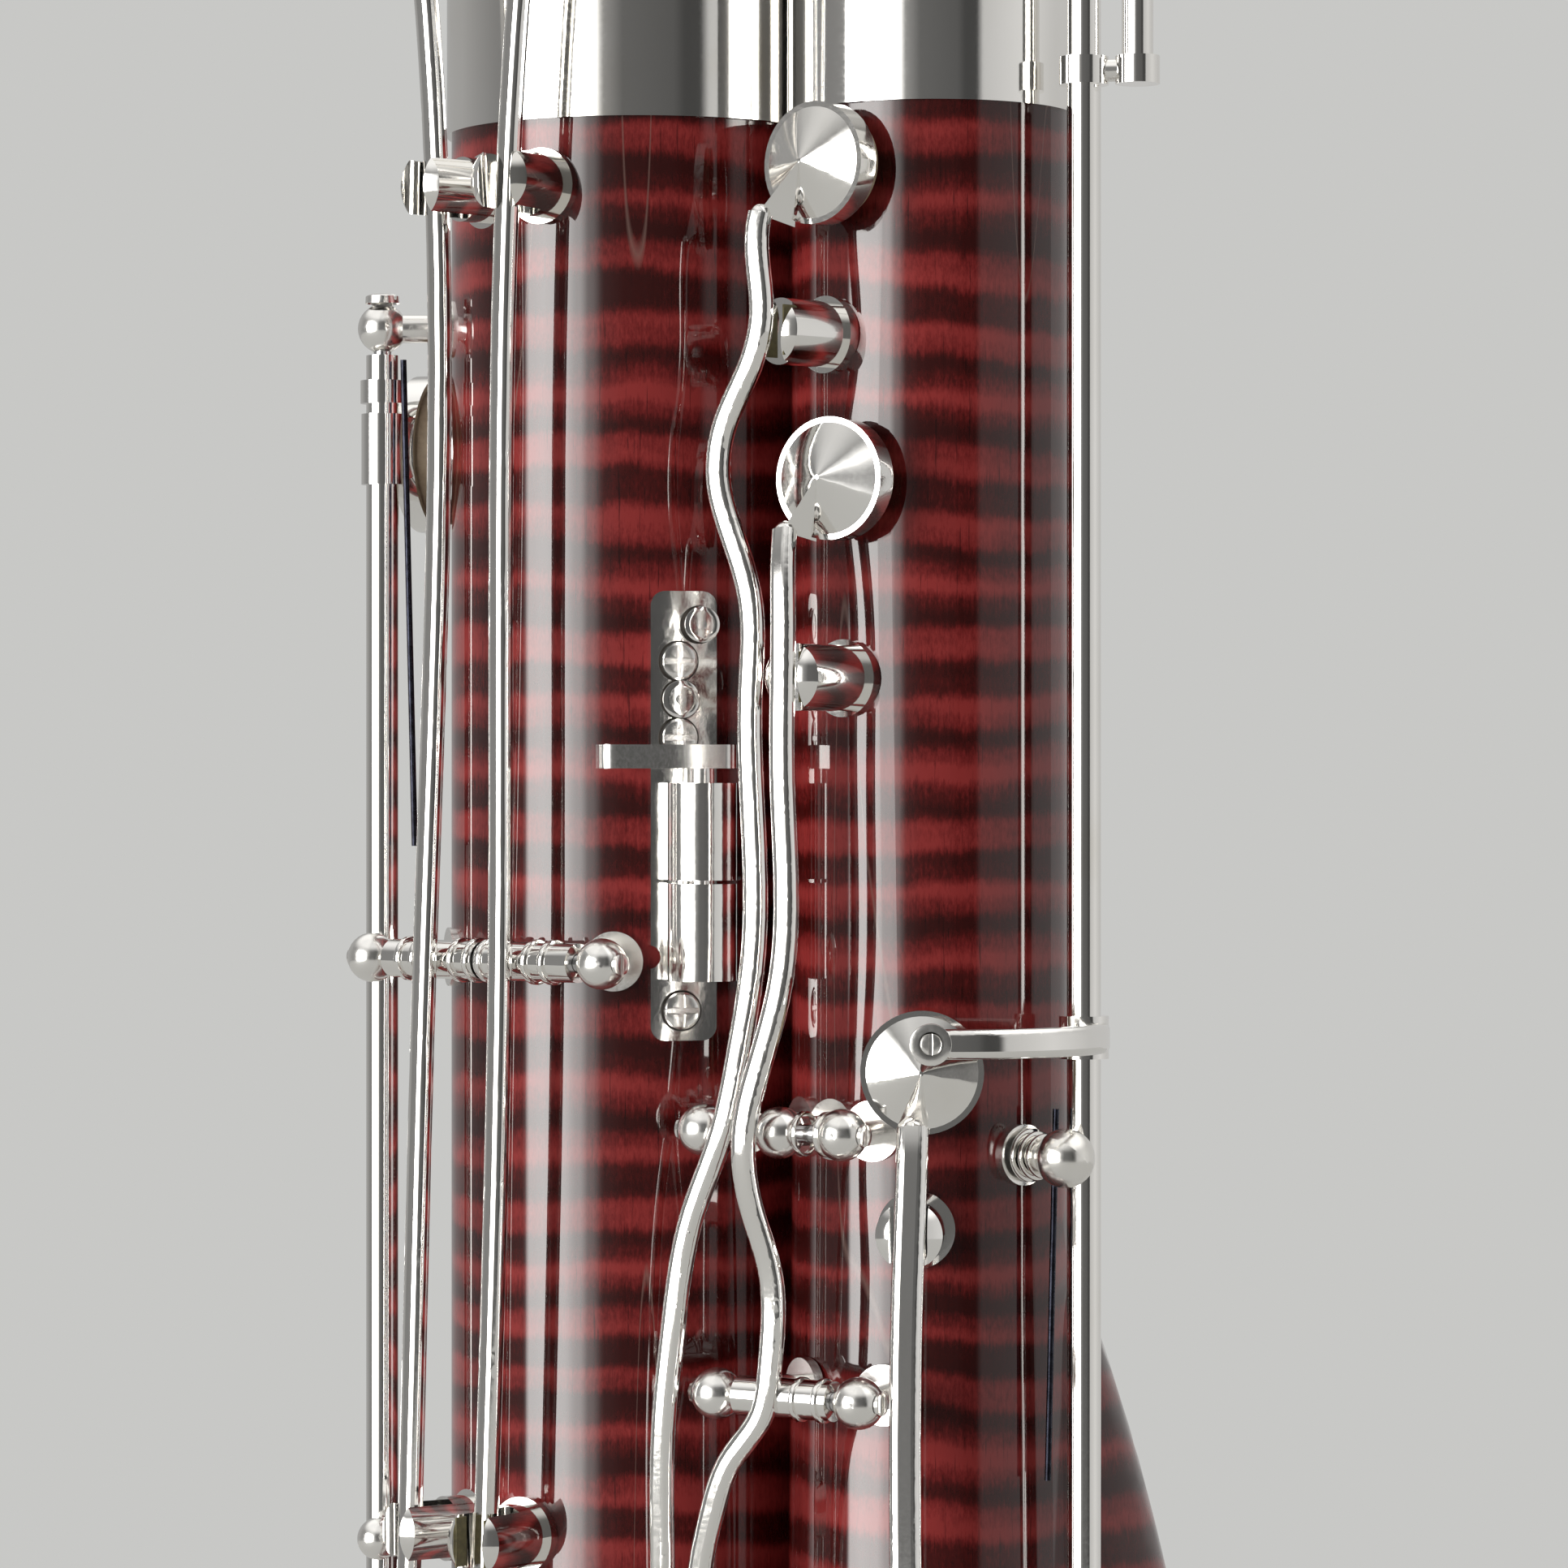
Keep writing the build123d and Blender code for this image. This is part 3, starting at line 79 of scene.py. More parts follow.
camera_data = bpy.data.cameras.new("camera")
camera_data.sensor_width = SENSOR
camera_data.lens = SENSOR * VIEW_DISTANCE / VIEW_WIDTH
camera = bpy.data.objects.new("camera", camera_data)
camera.location = (sin(VIEW_TURN) * VIEW_DISTANCE, -cos(VIEW_TURN) * VIEW_DISTANCE, VIEW_HEIGHT)
camera.rotation_euler = (pi / 2, 0, VIEW_TURN)
bpy.context.scene.collection.objects.link(camera)
bpy.context.scene.camera = camera
bpy.context.scene.view_settings.view_transform = "Standard"


def link(obj):
    """Put a new object into the scene."""
    bpy.context.scene.collection.objects.link(obj)
    return obj


# The studio is one world: a tall strip of light at the camera's left, a pale panel at its right and dark
# around the camera. Angles are counted from the camera's direction, to the right. A band gives a light's
# heights on the sphere, from -1 below to 1 above: where it starts, is full, stops being full and ends. The
# fill's band has no upper end. The camera itself sees a plain grey backdrop.
KEY_STOPS = [(-74, 0.0), (-70, 0.9), (-60, 1.0), (-47, 0.95), (-37, 0.62), (-30, 0.22), (-21, 0.0)]
KEY_RADIANCE = 11.0
KEY_BAND = (-0.40, -0.22, 0.27, 0.52)
ROOM_STOPS = [(-180, 0.40), (-130, 0.36), (-92, 0.22), (-22, 0.30), (-10, 0.13), (10, 0.11), (20, 0.10),
              (26, 0.06), (36, 0.06), (41, 0.55), (78, 0.70), (115, 0.55), (179, 0.55)]
FILL_RADIANCE = 0.75
FILL_BAND = (0.45, 0.80, 2.0, 3.0)
STUDIO_TINT = (1.0, 0.99, 0.97, 1)
BACKDROP_GREY = (0.578, 0.578, 0.564, 1)

world = bpy.data.worlds.new("studio")
bpy.context.scene.world = world
world.use_nodes = True
sky = world.node_tree
for node in list(sky.nodes):
    sky.nodes.remove(node)


def sky_math(kind, first, second=None):
    """Math node of the world; each input is a number or an output."""
    node = sky.nodes.new("ShaderNodeMath")
    node.operation = kind
    for socket, value in zip(node.inputs, (first, second)):
        if isinstance(value, (int, float)):
            socket.default_value = value
        elif value is not None:
            sky.links.new(value, socket)
    return node.outputs[0]


def sky_ramp(factor, stops, blend):
    """Grey ramp round the horizon from (angle, level) stops."""
    node = sky.nodes.new("ShaderNodeValToRGB")
    node.color_ramp.interpolation = blend
    elements = node.color_ramp.elements
    while len(elements) < len(stops):
        elements.new(0.5)
    for element, (angle, level) in zip(elements, stops):
        element.position = (angle + 180) / 360
        element.color = (level, level, level, 1)
    sky.links.new(factor, node.inputs["Fac"])
    return node.outputs["Color"]


def sky_window(value, low_out, low_in, high_in, high_out):
    """1 between two levels, with soft edges."""
    rise = sky.nodes.new("ShaderNodeMapRange")
    fall = sky.nodes.new("ShaderNodeMapRange")
    for node, start, end in ((rise, low_out, low_in), (fall, high_out, high_in)):
        node.interpolation_type = "SMOOTHSTEP"
        node.inputs["From Min"].default_value = min(start, end)
        node.inputs["From Max"].default_value = max(start, end)
        if start > end:
            node.inputs["To Min"].default_value = 1
            node.inputs["To Max"].default_value = 0
        sky.links.new(value, node.inputs["Value"])
    return sky_math("MULTIPLY", rise.outputs["Result"], fall.outputs["Result"])


direction = sky.nodes.new("ShaderNodeTexCoord").outputs["Generated"]
parts = sky.nodes.new("ShaderNodeSeparateXYZ")
sky.links.new(direction, parts.inputs[0])
turn = sky_math("ARCTAN2", parts.outputs["X"], sky_math("MULTIPLY", parts.outputs["Y"], -1.0))
turn = sky_math("FRACT", sky_math("ADD", sky_math("DIVIDE", turn, 2 * pi), 0.5 - VIEW_TURN / (2 * pi)))
key = sky_ramp(turn, KEY_STOPS, "EASE")
key = sky_math("MULTIPLY", key, sky_window(parts.outputs["Z"], *KEY_BAND))
room = sky_ramp(turn, ROOM_STOPS, "LINEAR")
above = sky_window(parts.outputs["Z"], *FILL_BAND)
light = sky_math("MULTIPLY", key, KEY_RADIANCE)
light = sky_math("ADD", light, room)
light = sky_math("ADD", light, sky_math("MULTIPLY", above, FILL_RADIANCE))
studio = sky.nodes.new("ShaderNodeBackground")
studio.inputs["Color"].default_value = STUDIO_TINT
sky.links.new(light, studio.inputs["Strength"])
backdrop = sky.nodes.new("ShaderNodeBackground")
backdrop.inputs["Color"].default_value = BACKDROP_GREY
seen = sky.nodes.new("ShaderNodeLightPath")
choose = sky.nodes.new("ShaderNodeMixShader")
world_out = sky.nodes.new("ShaderNodeOutputWorld")
sky.links.new(seen.outputs["Is Camera Ray"], choose.inputs[0])
sky.links.new(studio.outputs[0], choose.inputs[1])
sky.links.new(backdrop.outputs[0], choose.inputs[2])
sky.links.new(choose.outputs[0], world_out.inputs["Surface"])

# ---------------------------------------------------------------- materials


class Shader:
    """Small helper round one node material."""

    def __init__(self, name):
        self.material = bpy.data.materials.new(name)
        self.material.use_nodes = True
        self.tree = self.material.node_tree
        self.surface = self.tree.nodes["Principled BSDF"]
        self.place = self.tree.nodes.new("ShaderNodeTexCoord").outputs["Object"]

    def set(self, **values):
        """Set uniform values on the shader's own sockets."""
        for key, value in values.items():
            self.surface.inputs[key.replace("_", " ")].default_value = value

    def plug(self, source, target):
        """Join an output to an input."""
        self.tree.links.new(source, target)

    def scaled(self, x, y, z):
        """Object coordinates stretched by three factors, per metre."""
        node = self.tree.nodes.new("ShaderNodeMapping")
        node.inputs["Scale"].default_value = (x, y, z)
        self.plug(self.place, node.inputs["Vector"])
        return node.outputs["Vector"]

    def noise(self, vector, scale=1.0, detail=3.0, roughness=0.5):
        """Noise between 0 and 1."""
        node = self.tree.nodes.new("ShaderNodeTexNoise")
        node.inputs["Scale"].default_value = scale
        node.inputs["Detail"].default_value = detail
        node.inputs["Roughness"].default_value = roughness
        self.plug(vector, node.inputs["Vector"])
        return node.outputs["Fac"]

    def math(self, kind, first, second=None, third=None):
        """One Math node; each input is a number or an output."""
        node = self.tree.nodes.new("ShaderNodeMath")
        node.operation = kind
        for socket, value in zip(node.inputs, (first, second, third)):
            if value is None:
                continue
            if isinstance(value, (int, float)):
                socket.default_value = value
            else:
                self.plug(value, socket)
        return node.outputs[0]

    def ramp(self, factor, stops):
        """Colour ramp through (position, colour) stops."""
        node = self.tree.nodes.new("ShaderNodeValToRGB")
        elements = node.color_ramp.elements
        while len(elements) < len(stops):
            elements.new(0.5)
        for element, (position, colour) in zip(elements, stops):
            element.position = position
            element.color = (*colour, 1)
        self.plug(factor, node.inputs["Fac"])
        return node.outputs["Color"]

    def spread(self, factor, low, high):
        """Noise mapped linearly from its useful middle to a range."""
        node = self.tree.nodes.new("ShaderNodeMapRange")
        node.inputs["From Min"].default_value = 0.3
        node.inputs["From Max"].default_value = 0.7
        node.inputs["To Min"].default_value = low
        node.inputs["To Max"].default_value = high
        self.plug(factor, node.inputs["Value"])
        return node.outputs["Result"]

    def mix(self, factor, first, second, kind="MIX"):
        """Mix of two colours."""
        node = self.tree.nodes.new("ShaderNodeMix")
        node.data_type = "RGBA"
        node.blend_type = kind
        for socket, value in ((node.inputs[0], factor), (node.inputs[6], first), (node.inputs[7], second)):
            if isinstance(value, (int, float)):
                socket.default_value = value
            elif isinstance(value, tuple):
                socket.default_value = (*value, 1)
            else:
                self.plug(value, socket)
        return node.outputs[2]

    def bump(self, height, strength, distance, target="Normal"):
        """Bump from a height output."""
        node = self.tree.nodes.new("ShaderNodeBump")
        node.inputs["Strength"].default_value = strength
        node.inputs["Distance"].default_value = distance
        self.plug(height, node.inputs["Height"])
        self.plug(node.outputs["Normal"], self.surface.inputs[target])


FLAME_PERIOD = 6.8 * MM


def flame_maple():
    """Red-stained flame maple: stripes across the grain, fine fibres along it, under gloss lacquer."""
    wood = Shader("red_flame_maple")
    split = wood.tree.nodes.new("ShaderNodeSeparateXYZ")
    wood.plug(wood.place, split.inputs[0])
    drift = wood.noise(wood.scaled(13, 13, 24), detail=2.0)
    ragged = wood.noise(wood.scaled(170, 170, 40), detail=3.0, roughness=0.6)
    fibres = wood.noise(wood.scaled(2300, 2300, 60), detail=4.0, roughness=0.6)
    shimmer = wood.noise(wood.scaled(3000, 3000, 1100), detail=3.0, roughness=0.7)
    turns = wood.math("DIVIDE", split.outputs["Z"], FLAME_PERIOD)
    turns = wood.math("MULTIPLY_ADD", drift, 1.7, turns)
    turns = wood.math("MULTIPLY_ADD", ragged, 0.30, turns)
    turns = wood.math("MULTIPLY_ADD", fibres, 0.12, turns)
    wave = wood.math("SINE", wood.math("MULTIPLY", turns, 2 * pi))
    second = wood.math("SINE", wood.math("MULTIPLY", turns, 5.3 * pi))
    wave = wood.math("MULTIPLY_ADD", wave, 0.30, 0.52)
    wave = wood.math("MULTIPLY_ADD", second, 0.07, wave)
    patches = wood.noise(wood.scaled(45, 45, 75), detail=2.0)
    wave = wood.math("ADD", wave, wood.spread(patches, -0.17, 0.17))
    wave = wood.math("ADD", wave, wood.spread(shimmer, -0.13, 0.13))
    wave = wood.math("ADD", wave, wood.spread(fibres, -0.05, 0.05))
    colour = wood.ramp(wave, [(0.20, (0.024, 0.0017, 0.0014)), (0.42, (0.046, 0.0030, 0.0027)),
                              (0.62, (0.108, 0.0085, 0.0084)), (0.90, (0.190, 0.0200, 0.0190))])
    pores = wood.noise(wood.scaled(4200, 4200, 160), detail=2.0)
    pores = wood.ramp(pores, [(0.27, (0.45, 0.45, 0.45)), (0.37, (1, 1, 1))])
    colour = wood.mix(1.0, colour, pores, "MULTIPLY")
    checks = wood.noise(wood.scaled(95, 95, 5), detail=1.0)
    checks = wood.math("ABSOLUTE", wood.math("SUBTRACT", checks, 0.36))
    checks = wood.ramp(checks, [(0.0008, (0.55, 0.55, 0.55)), (0.0020, (0, 0, 0))])
    colour = wood.mix(checks, colour, (0.16, 0.10, 0.085))
    wood.plug(colour, wood.surface.inputs["Base Color"])
    wood.plug(wood.spread(fibres, 0.36, 0.52), wood.surface.inputs["Roughness"])
    wood.set(Coat_Weight=1.0, Coat_Roughness=0.03, Coat_IOR=1.52, Specular_IOR_Level=0.04)
    wood.bump(shimmer, 0.10, 0.03 * MM)
    lacquer = wood.noise(wood.scaled(120, 120, 60), detail=2.0)
    wood.bump(lacquer, 0.22, 0.05 * MM, "Coat Normal")
    return wood.material


def silver(name, smooth, rough, scratch, swell=0.0):
    """Silver plate: mirror or satin, with hairline scratches, a faint warm tarnish and soft waves."""
    metal = Shader(name)
    tarnish = metal.noise(metal.scaled(60, 60, 45), detail=4.0)
    colour = metal.ramp(tarnish, [(0.30, (0.93, 0.92, 0.90)), (0.62, (0.90, 0.885, 0.855)),
                                  (0.80, (0.83, 0.80, 0.74))])
    metal.plug(colour, metal.surface.inputs["Base Color"])
    hairs = metal.noise(metal.scaled(900, 5200, 2600), detail=2.0)
    metal.plug(metal.spread(hairs, smooth, rough), metal.surface.inputs["Roughness"])
    metal.set(Metallic=1.0)
    height = metal.math("MULTIPLY", hairs, 0.02)
    if swell:
        waves = metal.noise(metal.scaled(420, 420, 300), detail=2.0)
        height = metal.math("MULTIPLY_ADD", waves, swell * 4, height)
    metal.bump(height, scratch, 0.2 * MM)
    return metal.material


def plain(name, light, dark, rough, scale, grain, metallic=0.0):
    """Mottled material for small fittings."""
    stuff = Shader(name)
    mottle = stuff.noise(stuff.scaled(scale, scale, scale), detail=5.0, roughness=0.6)
    stuff.plug(stuff.ramp(mottle, [(0.34, dark), (0.66, light)]), stuff.surface.inputs["Base Color"])
    stuff.plug(stuff.spread(mottle, rough * 0.85, min(1.0, rough * 1.15)), stuff.surface.inputs["Roughness"])
    stuff.set(Metallic=metallic)
    stuff.bump(mottle, grain, 0.05 * MM)
    return stuff.material


WOOD = flame_maple()
MIRROR = silver("silver_plate_mirror", 0.045, 0.10, 0.10)
SATIN = silver("silver_plate_satin", 0.16, 0.24, 0.16)
CAST = silver("silver_plate_cast", 0.07, 0.12, 0.5, 0.07)
STEEL = plain("polished_steel", (0.62, 0.62, 0.63), (0.50, 0.50, 0.51), 0.20, 900, 0.1, 1.0)
BLUED = plain("blued_spring_steel", (0.030, 0.032, 0.045), (0.012, 0.012, 0.016), 0.28, 900, 0.1, 1.0)
CORK = plain("cork", (0.22, 0.13, 0.065), (0.10, 0.055, 0.025), 0.85, 900, 0.6)
LEATHER = plain("pad_leather", (0.34, 0.27, 0.18), (0.26, 0.20, 0.13), 0.62, 1400, 0.35)
OLIVE = plain("slot_lining", (0.150, 0.130, 0.062), (0.085, 0.072, 0.034), 0.8, 1500, 0.35)
# Dark metal that paints the shade in the gaps round the lock's screws and pegs
GAP_SHADE = plain("painted_gap_shade", (0.075, 0.068, 0.060), (0.035, 0.031, 0.028), 0.55, 1200, 0.2, 1.0)
EBONITE = plain("black_hard_rubber", (0.020, 0.020, 0.021), (0.012, 0.012, 0.013), 0.35, 700, 0.15)
FLOOR = plain("pale_floor", (0.455, 0.455, 0.445), (0.445, 0.445, 0.435), 0.95, 40, 0.0)

# The floor is a disc whose far edge stays below the frame of the camera set above
FLOOR_RADIUS = 4.4
FLOOR_STEPS = 128
FLOOR_DROP = 0.5 * MM
floor_mesh = bpy.data.meshes.new("floor")
floor_turns = [2 * pi * step / FLOOR_STEPS for step in range(FLOOR_STEPS)]
floor_rim = [(FLOOR_RADIUS * cos(angle), FLOOR_RADIUS * sin(angle), 0) for angle in floor_turns]
floor_mesh.from_pydata(floor_rim, [], [tuple(range(FLOOR_STEPS))])
floor_mesh.materials.append(FLOOR)
floor = link(bpy.data.objects.new("floor", floor_mesh))
floor.location.z = cad_low.z - FLOOR_DROP

BY_SLOT = {"red_maple": WOOD, "silver_plate": MIRROR, "steel": STEEL, "blued_steel": BLUED, "cork": CORK,
           "pad_leather": LEATHER, "ebonite": EBONITE}
SATIN_NODES = ("long_joint_posts", "wing_joint_posts", "boot_posts", "lock_slide")
CAST_NODES = ("lock_plate",)
for part in frame["record"]["subparts"]:
    finish = SATIN if part["node"] in SATIN_NODES else BY_SLOT[part["material_slot"]]
    finish = CAST if part["node"] in CAST_NODES else finish
    slots = frame["nodes"][part["node"]].data.materials
    slots.clear()
    slots.append(finish)

# ---------------------------------------------------------------- fine fittings

WELDS_PER_METRE = 1e6
NO_RADIUS = 1e-7
# Shares of a screw head's radius or height
HEAD_GRID = 28
HEAD_SLOT = 0.16
HEAD_CROWN = 0.30
HEAD_EDGE = 0.985
HEAD_SLOT_FLOOR = 0.35
UP = Vector((0, 0, 1))


def islands(node):
    """Vertex lists of the separate solids in a CAD node."""
    mesh = frame["nodes"][node].data
    welded = {}
    parent = list(range(len(mesh.vertices)))

    def root(i):
        while parent[i] != i:
            parent[i] = parent[parent[i]]
            i = parent[i]
        return i

    for vertex in mesh.vertices:
        spot = tuple(round(c * WELDS_PER_METRE) for c in vertex.co)
        first = welded.setdefault(spot, vertex.index)
        parent[root(vertex.index)] = root(first)
    for edge in mesh.edges:
        parent[root(edge.vertices[0])] = root(edge.vertices[1])
    groups = {}
    for vertex in mesh.vertices:
        groups.setdefault(root(vertex.index), []).append(vertex.co.copy())
    return list(groups.values())


def box_middle(points):
    """Centre of a list of points' box."""
    return Vector([(min(p[i] for p in points) + max(p[i] for p in points)) / 2 for i in range(3)])


def extent(points):
    """Size of a list of points' box."""
    return Vector([max(p[i] for p in points) - min(p[i] for p in points) for i in range(3)])


def finish_piece(name, mesh, material, body, sharp=radians(38)):
    """Link a new piece with smooth faces and crisp edges, and let it ride on a body."""
    for polygon in mesh.polygons:
        polygon.use_smooth = True
    mesh.set_sharp_from_angle(angle=sharp)
    mesh.materials.append(material)
    piece = link(bpy.data.objects.new(name, mesh))
    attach(piece, body)
    return piece


def side_of(axis):
    """Any direction square to an axis."""
    helper = UP if abs(axis.z) < 0.8 else Vector((1, 0, 0))
    return axis.cross(helper).normalized()


def turned(name, place, axis, outline, material, body, steps=48, closed=False):
    """Piece turned round an axis from (radius, height) points in metres."""
    axis = axis.normalized()
    side = side_of(axis)
    other = axis.cross(side)
    rings = []
    vertices = []
    for radius, height in outline:
        ring = []
        for step in range(steps if radius > NO_RADIUS else 1):
            angle = 2 * pi * step / steps
            ring.append(len(vertices))
            vertices.append(place + axis * height + (side * cos(angle) + other * sin(angle)) * radius)
        rings.append(ring)
    pairs = list(zip(rings, rings[1:]))
    if closed:
        pairs.append((rings[-1], rings[0]))
    faces = []
    for low, high in pairs:
        for step in range(steps):
            corners = [low[step % len(low)], low[(step + 1) % len(low)],
                       high[(step + 1) % len(high)], high[step % len(high)]]
            unique = list(dict.fromkeys(corners))
            if len(unique) > 2:
                faces.append(unique)
    mesh = bpy.data.meshes.new(name)
    mesh.from_pydata([tuple(v) for v in vertices], [], faces)
    return finish_piece(name, mesh, material, body)


def collar(name, place, axis, inner, outer, width, body, material=None):
    """Rounded ring round a tube or a stem."""
    half = width / 2
    soft = min(half, (outer - inner)) * 0.45
    cut = soft * 0.3
    outline = [(inner, -half), (outer - soft, -half), (outer - cut, -half + cut), (outer, -half + soft),
               (outer, half - soft), (outer - cut, half - cut), (outer - soft, half), (inner, half)]
    return turned(name, place, axis, outline, material or MIRROR, body, closed=True)


def slotted_head(name, place, axis, radius, height, body, material=None, cross=False):
    """Screw head with a crowned top and a sunk slot, made as a fine grid bent to a disc."""
    axis = axis.normalized()
    side = side_of(axis)
    other = axis.cross(side)
    slot_half = radius * HEAD_SLOT
    vertices = []
    faces = []
    for row in range(HEAD_GRID + 1):
        for column in range(HEAD_GRID + 1):
            u = 2 * row / HEAD_GRID - 1
            v = 2 * column / HEAD_GRID - 1
            reach_u = u * (1 - v * v / 2) ** 0.5
            reach_v = v * (1 - u * u / 2) ** 0.5
            distance = min(1.0, (reach_u * reach_u + reach_v * reach_v) ** 0.5)
            rise = height * (1 - HEAD_CROWN * distance ** 4)
            if distance > HEAD_EDGE:
                rise = 0.0
            elif abs(reach_u * radius) < slot_half or (cross and abs(reach_v * radius) < slot_half):
                rise = height * HEAD_SLOT_FLOOR
            vertices.append(place + axis * rise + (side * reach_u + other * reach_v) * radius)
    for row in range(HEAD_GRID):
        for column in range(HEAD_GRID):
            first = row * (HEAD_GRID + 1) + column
            faces.append((first, first + HEAD_GRID + 1, first + HEAD_GRID + 2, first + 1))
    mesh = bpy.data.meshes.new(name)
    mesh.from_pydata([tuple(v) for v in vertices], [], faces)
    return finish_piece(name, mesh, material or SATIN, body, radians(30))


def hinge_line(joint):
    """A joint's place and axis."""
    entry = JOINTS[joint]
    return Vector(entry["pos_m"]), Vector(entry["axis"]).normalized()


# Screw ends in the posts, at both ends of every hinge steel
STEEL_END = 2.2 * MM
PIVOT_PROUD = 0.28 * MM
PIVOT_RADIUS = 1.25 * MM
PIVOT_HEIGHT = 0.42 * MM
for node in ("long_joint_hinge_steels", "wing_joint_hinge_steels", "boot_hinge_steels"):
    for number, points in enumerate(islands(node)):
        centre = box_middle(points)
        far = max(points, key=lambda point: (point - centre).length)
        end = box_middle([point for point in points if (point - far).length < STEEL_END])
        axis = (end - centre).normalized()
        reach = (end - centre).length
        for sign, label in ((1, "a"), (-1, "b")):
            place = centre + axis * sign * (reach + PIVOT_PROUD)
            slotted_head(f"pivot_screw_{node[:4]}_{number}_{label}", place, axis * sign, PIVOT_RADIUS,
                         PIVOT_HEIGHT, "instrument")

# Slotted cap on the top post of the low E flat rod
ROD_CAP_RISE = 5.9 * MM
ROD_CAP_RADIUS = 1.95 * MM
ROD_CAP_HEIGHT = 1.1 * MM
rod_place = hinge_line("low_e_flat_key_hinge")[0]
rod_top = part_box("low_e_flat_key")[1].z
rod_cap = Vector((rod_place.x, rod_place.y, rod_top + ROD_CAP_RISE))
slotted_head("rod_cap_screw", rod_cap, UP, ROD_CAP_RADIUS, ROD_CAP_HEIGHT, "instrument")

# Collars on the two long levers' shared hinge, placed in millimetres along it
TUBE_SEAT = 2.1 * MM
LEVER_COLLAR = 2.5 * MM
LEVER_COLLAR_WIDTH = 0.7 * MM
LEVER_COLLARS = (("flat_lever", "low_b_flat_lever", (-11.6, -9.4, -3.4, -1.0)),
                 ("low_b_lever", "low_b_lever", (1.0, 3.2, 8.0, 10.6)))
lever_place, lever_axis = hinge_line("low_b_flat_lever_hinge")
for short, body, spots in LEVER_COLLARS:
    for number, along in enumerate(spots):
        collar(f"{short}_collar_{number}", lever_place + lever_axis * along * MM, lever_axis, TUBE_SEAT,
               LEVER_COLLAR, LEVER_COLLAR_WIDTH, body)

# Collars at the ends of the short hinge tubes
KEY_COLLAR = 2.42 * MM
KEY_COLLAR_WIDTH = 0.6 * MM
for key_name in ("flick_a_key", "flick_c_key", "high_d_key", "c_sharp_key"):
    place, axis = hinge_line(key_name + "_hinge")
    for number, along in enumerate((-1.4, 1.4)):
        collar(f"{key_name}_collar_{number}", place + axis * along * MM, axis, TUBE_SEAT, KEY_COLLAR,
               KEY_COLLAR_WIDTH, key_name)

# Rings turned on the stem of the whisper rod's guide post, smaller towards its ball
GUIDE_POST_Z = FERRULE_Z - 113.5 * MM
GUIDE_POST_SPREAD = 3 * MM
GUIDE_POST_SIDE = 12 * MM
RING_SEAT = 1.55 * MM
RING_WIDTH = 0.55 * MM
for points in islands("wing_joint_posts"):
    centre = box_middle(points)
    if abs(centre.z - GUIDE_POST_Z) < GUIDE_POST_SPREAD and centre.x - WING_AXIS.x > GUIDE_POST_SIDE:
        out = Vector((centre.x - WING_AXIS.x, centre.y, 0)).normalized()
        for number, radius in enumerate((16.7, 17.7, 18.7)):
            place = Vector((WING_AXIS.x, 0, centre.z)) + out * radius * MM
            collar(f"guide_post_ring_{number}", place, out, RING_SEAT, (2.9 - 0.25 * number) * MM, RING_WIDTH,
                   "instrument")

# Lock: cross-slotted screw heads, rimmed pegs and a dark ring round each of them, which is painted shade for
# the shadow in the gap at its seam. A peg stands higher than a screw.
LOCK_TURN = radians(46)
LOCK_SCREW_RISE = 0.56 * MM
LOCK_HEAD_HEIGHT = 0.42 * MM
HEAD_SINK = 0.10 * MM
SEAM_LIFT = 0.05 * MM
SEAM_WIDTH = 0.22 * MM
SEAM_HEIGHT = 0.12 * MM
PEG_RIM = 0.08 * MM
PEG_RIM_WIDTH = 0.30 * MM
PEG_RIM_SINK = 0.12 * MM
PEG_CORE_SINK = 0.42 * MM
lock_out = Vector((sin(LOCK_TURN), -cos(LOCK_TURN), 0))
for number, points in enumerate(islands("lock_screws")):
    centre = box_middle(points)
    radius = extent(points).z / 2
    top = max((p - centre).dot(lock_out) for p in points)
    base = min((p - centre).dot(lock_out) for p in points)
    seam = centre + lock_out * (base + SEAM_LIFT)
    # Painted shade: a dark ring where the gap round the screw or peg lies in shadow
    collar(f"lock_gap_shade_{number}", seam, lock_out, radius, radius + SEAM_WIDTH, SEAM_HEIGHT, "instrument",
           GAP_SHADE)
    if top - base < LOCK_SCREW_RISE:
        head = centre + lock_out * (top - HEAD_SINK)
        slotted_head(f"lock_screw_head_{number}", head, lock_out, radius * 0.93, LOCK_HEAD_HEIGHT,
                     "instrument", cross=True)
    else:
        rim = centre + lock_out * (top - PEG_RIM_SINK)
        collar(f"lock_peg_rim_{number}", rim, lock_out, radius * 0.72, radius + PEG_RIM, PEG_RIM_WIDTH,
               "instrument")
        core = centre + lock_out * (top - PEG_CORE_SINK)
        crown = [(radius * 0.70, 0), (radius * 0.55, 0.14 * MM), (radius * 0.3, 0.22 * MM), (0, 0.24 * MM)]
        turned(f"lock_peg_core_{number}", core, lock_out, crown, SATIN, "instrument")

# Adjusting screw and polished rim in the eye of the whisper arm, at distances from the wing joint's axis
EYE_TURN = radians(31.5)
EYE_DROP = 100.8 * MM
EYE_RIM_OUT = 30.15 * MM
EYE_SCREW_OUT = 29.5 * MM
EYE_BORE = 1.42 * MM
EYE_RIM = 2.22 * MM
EYE_RIM_WIDTH = 0.5 * MM
EYE_SCREW = 1.22 * MM
EYE_SCREW_HEIGHT = 0.4 * MM
eye_out = Vector((sin(EYE_TURN), -cos(EYE_TURN), 0))
eye = Vector((WING_AXIS.x, 0, FERRULE_Z - EYE_DROP))
collar("whisper_eye_rim", eye + eye_out * EYE_RIM_OUT, eye_out, EYE_BORE, EYE_RIM, EYE_RIM_WIDTH,
       "whisper_key", SATIN)
slotted_head("whisper_eye_screw", eye + eye_out * EYE_SCREW_OUT, eye_out, EYE_SCREW, EYE_SCREW_HEIGHT,
             "whisper_key")

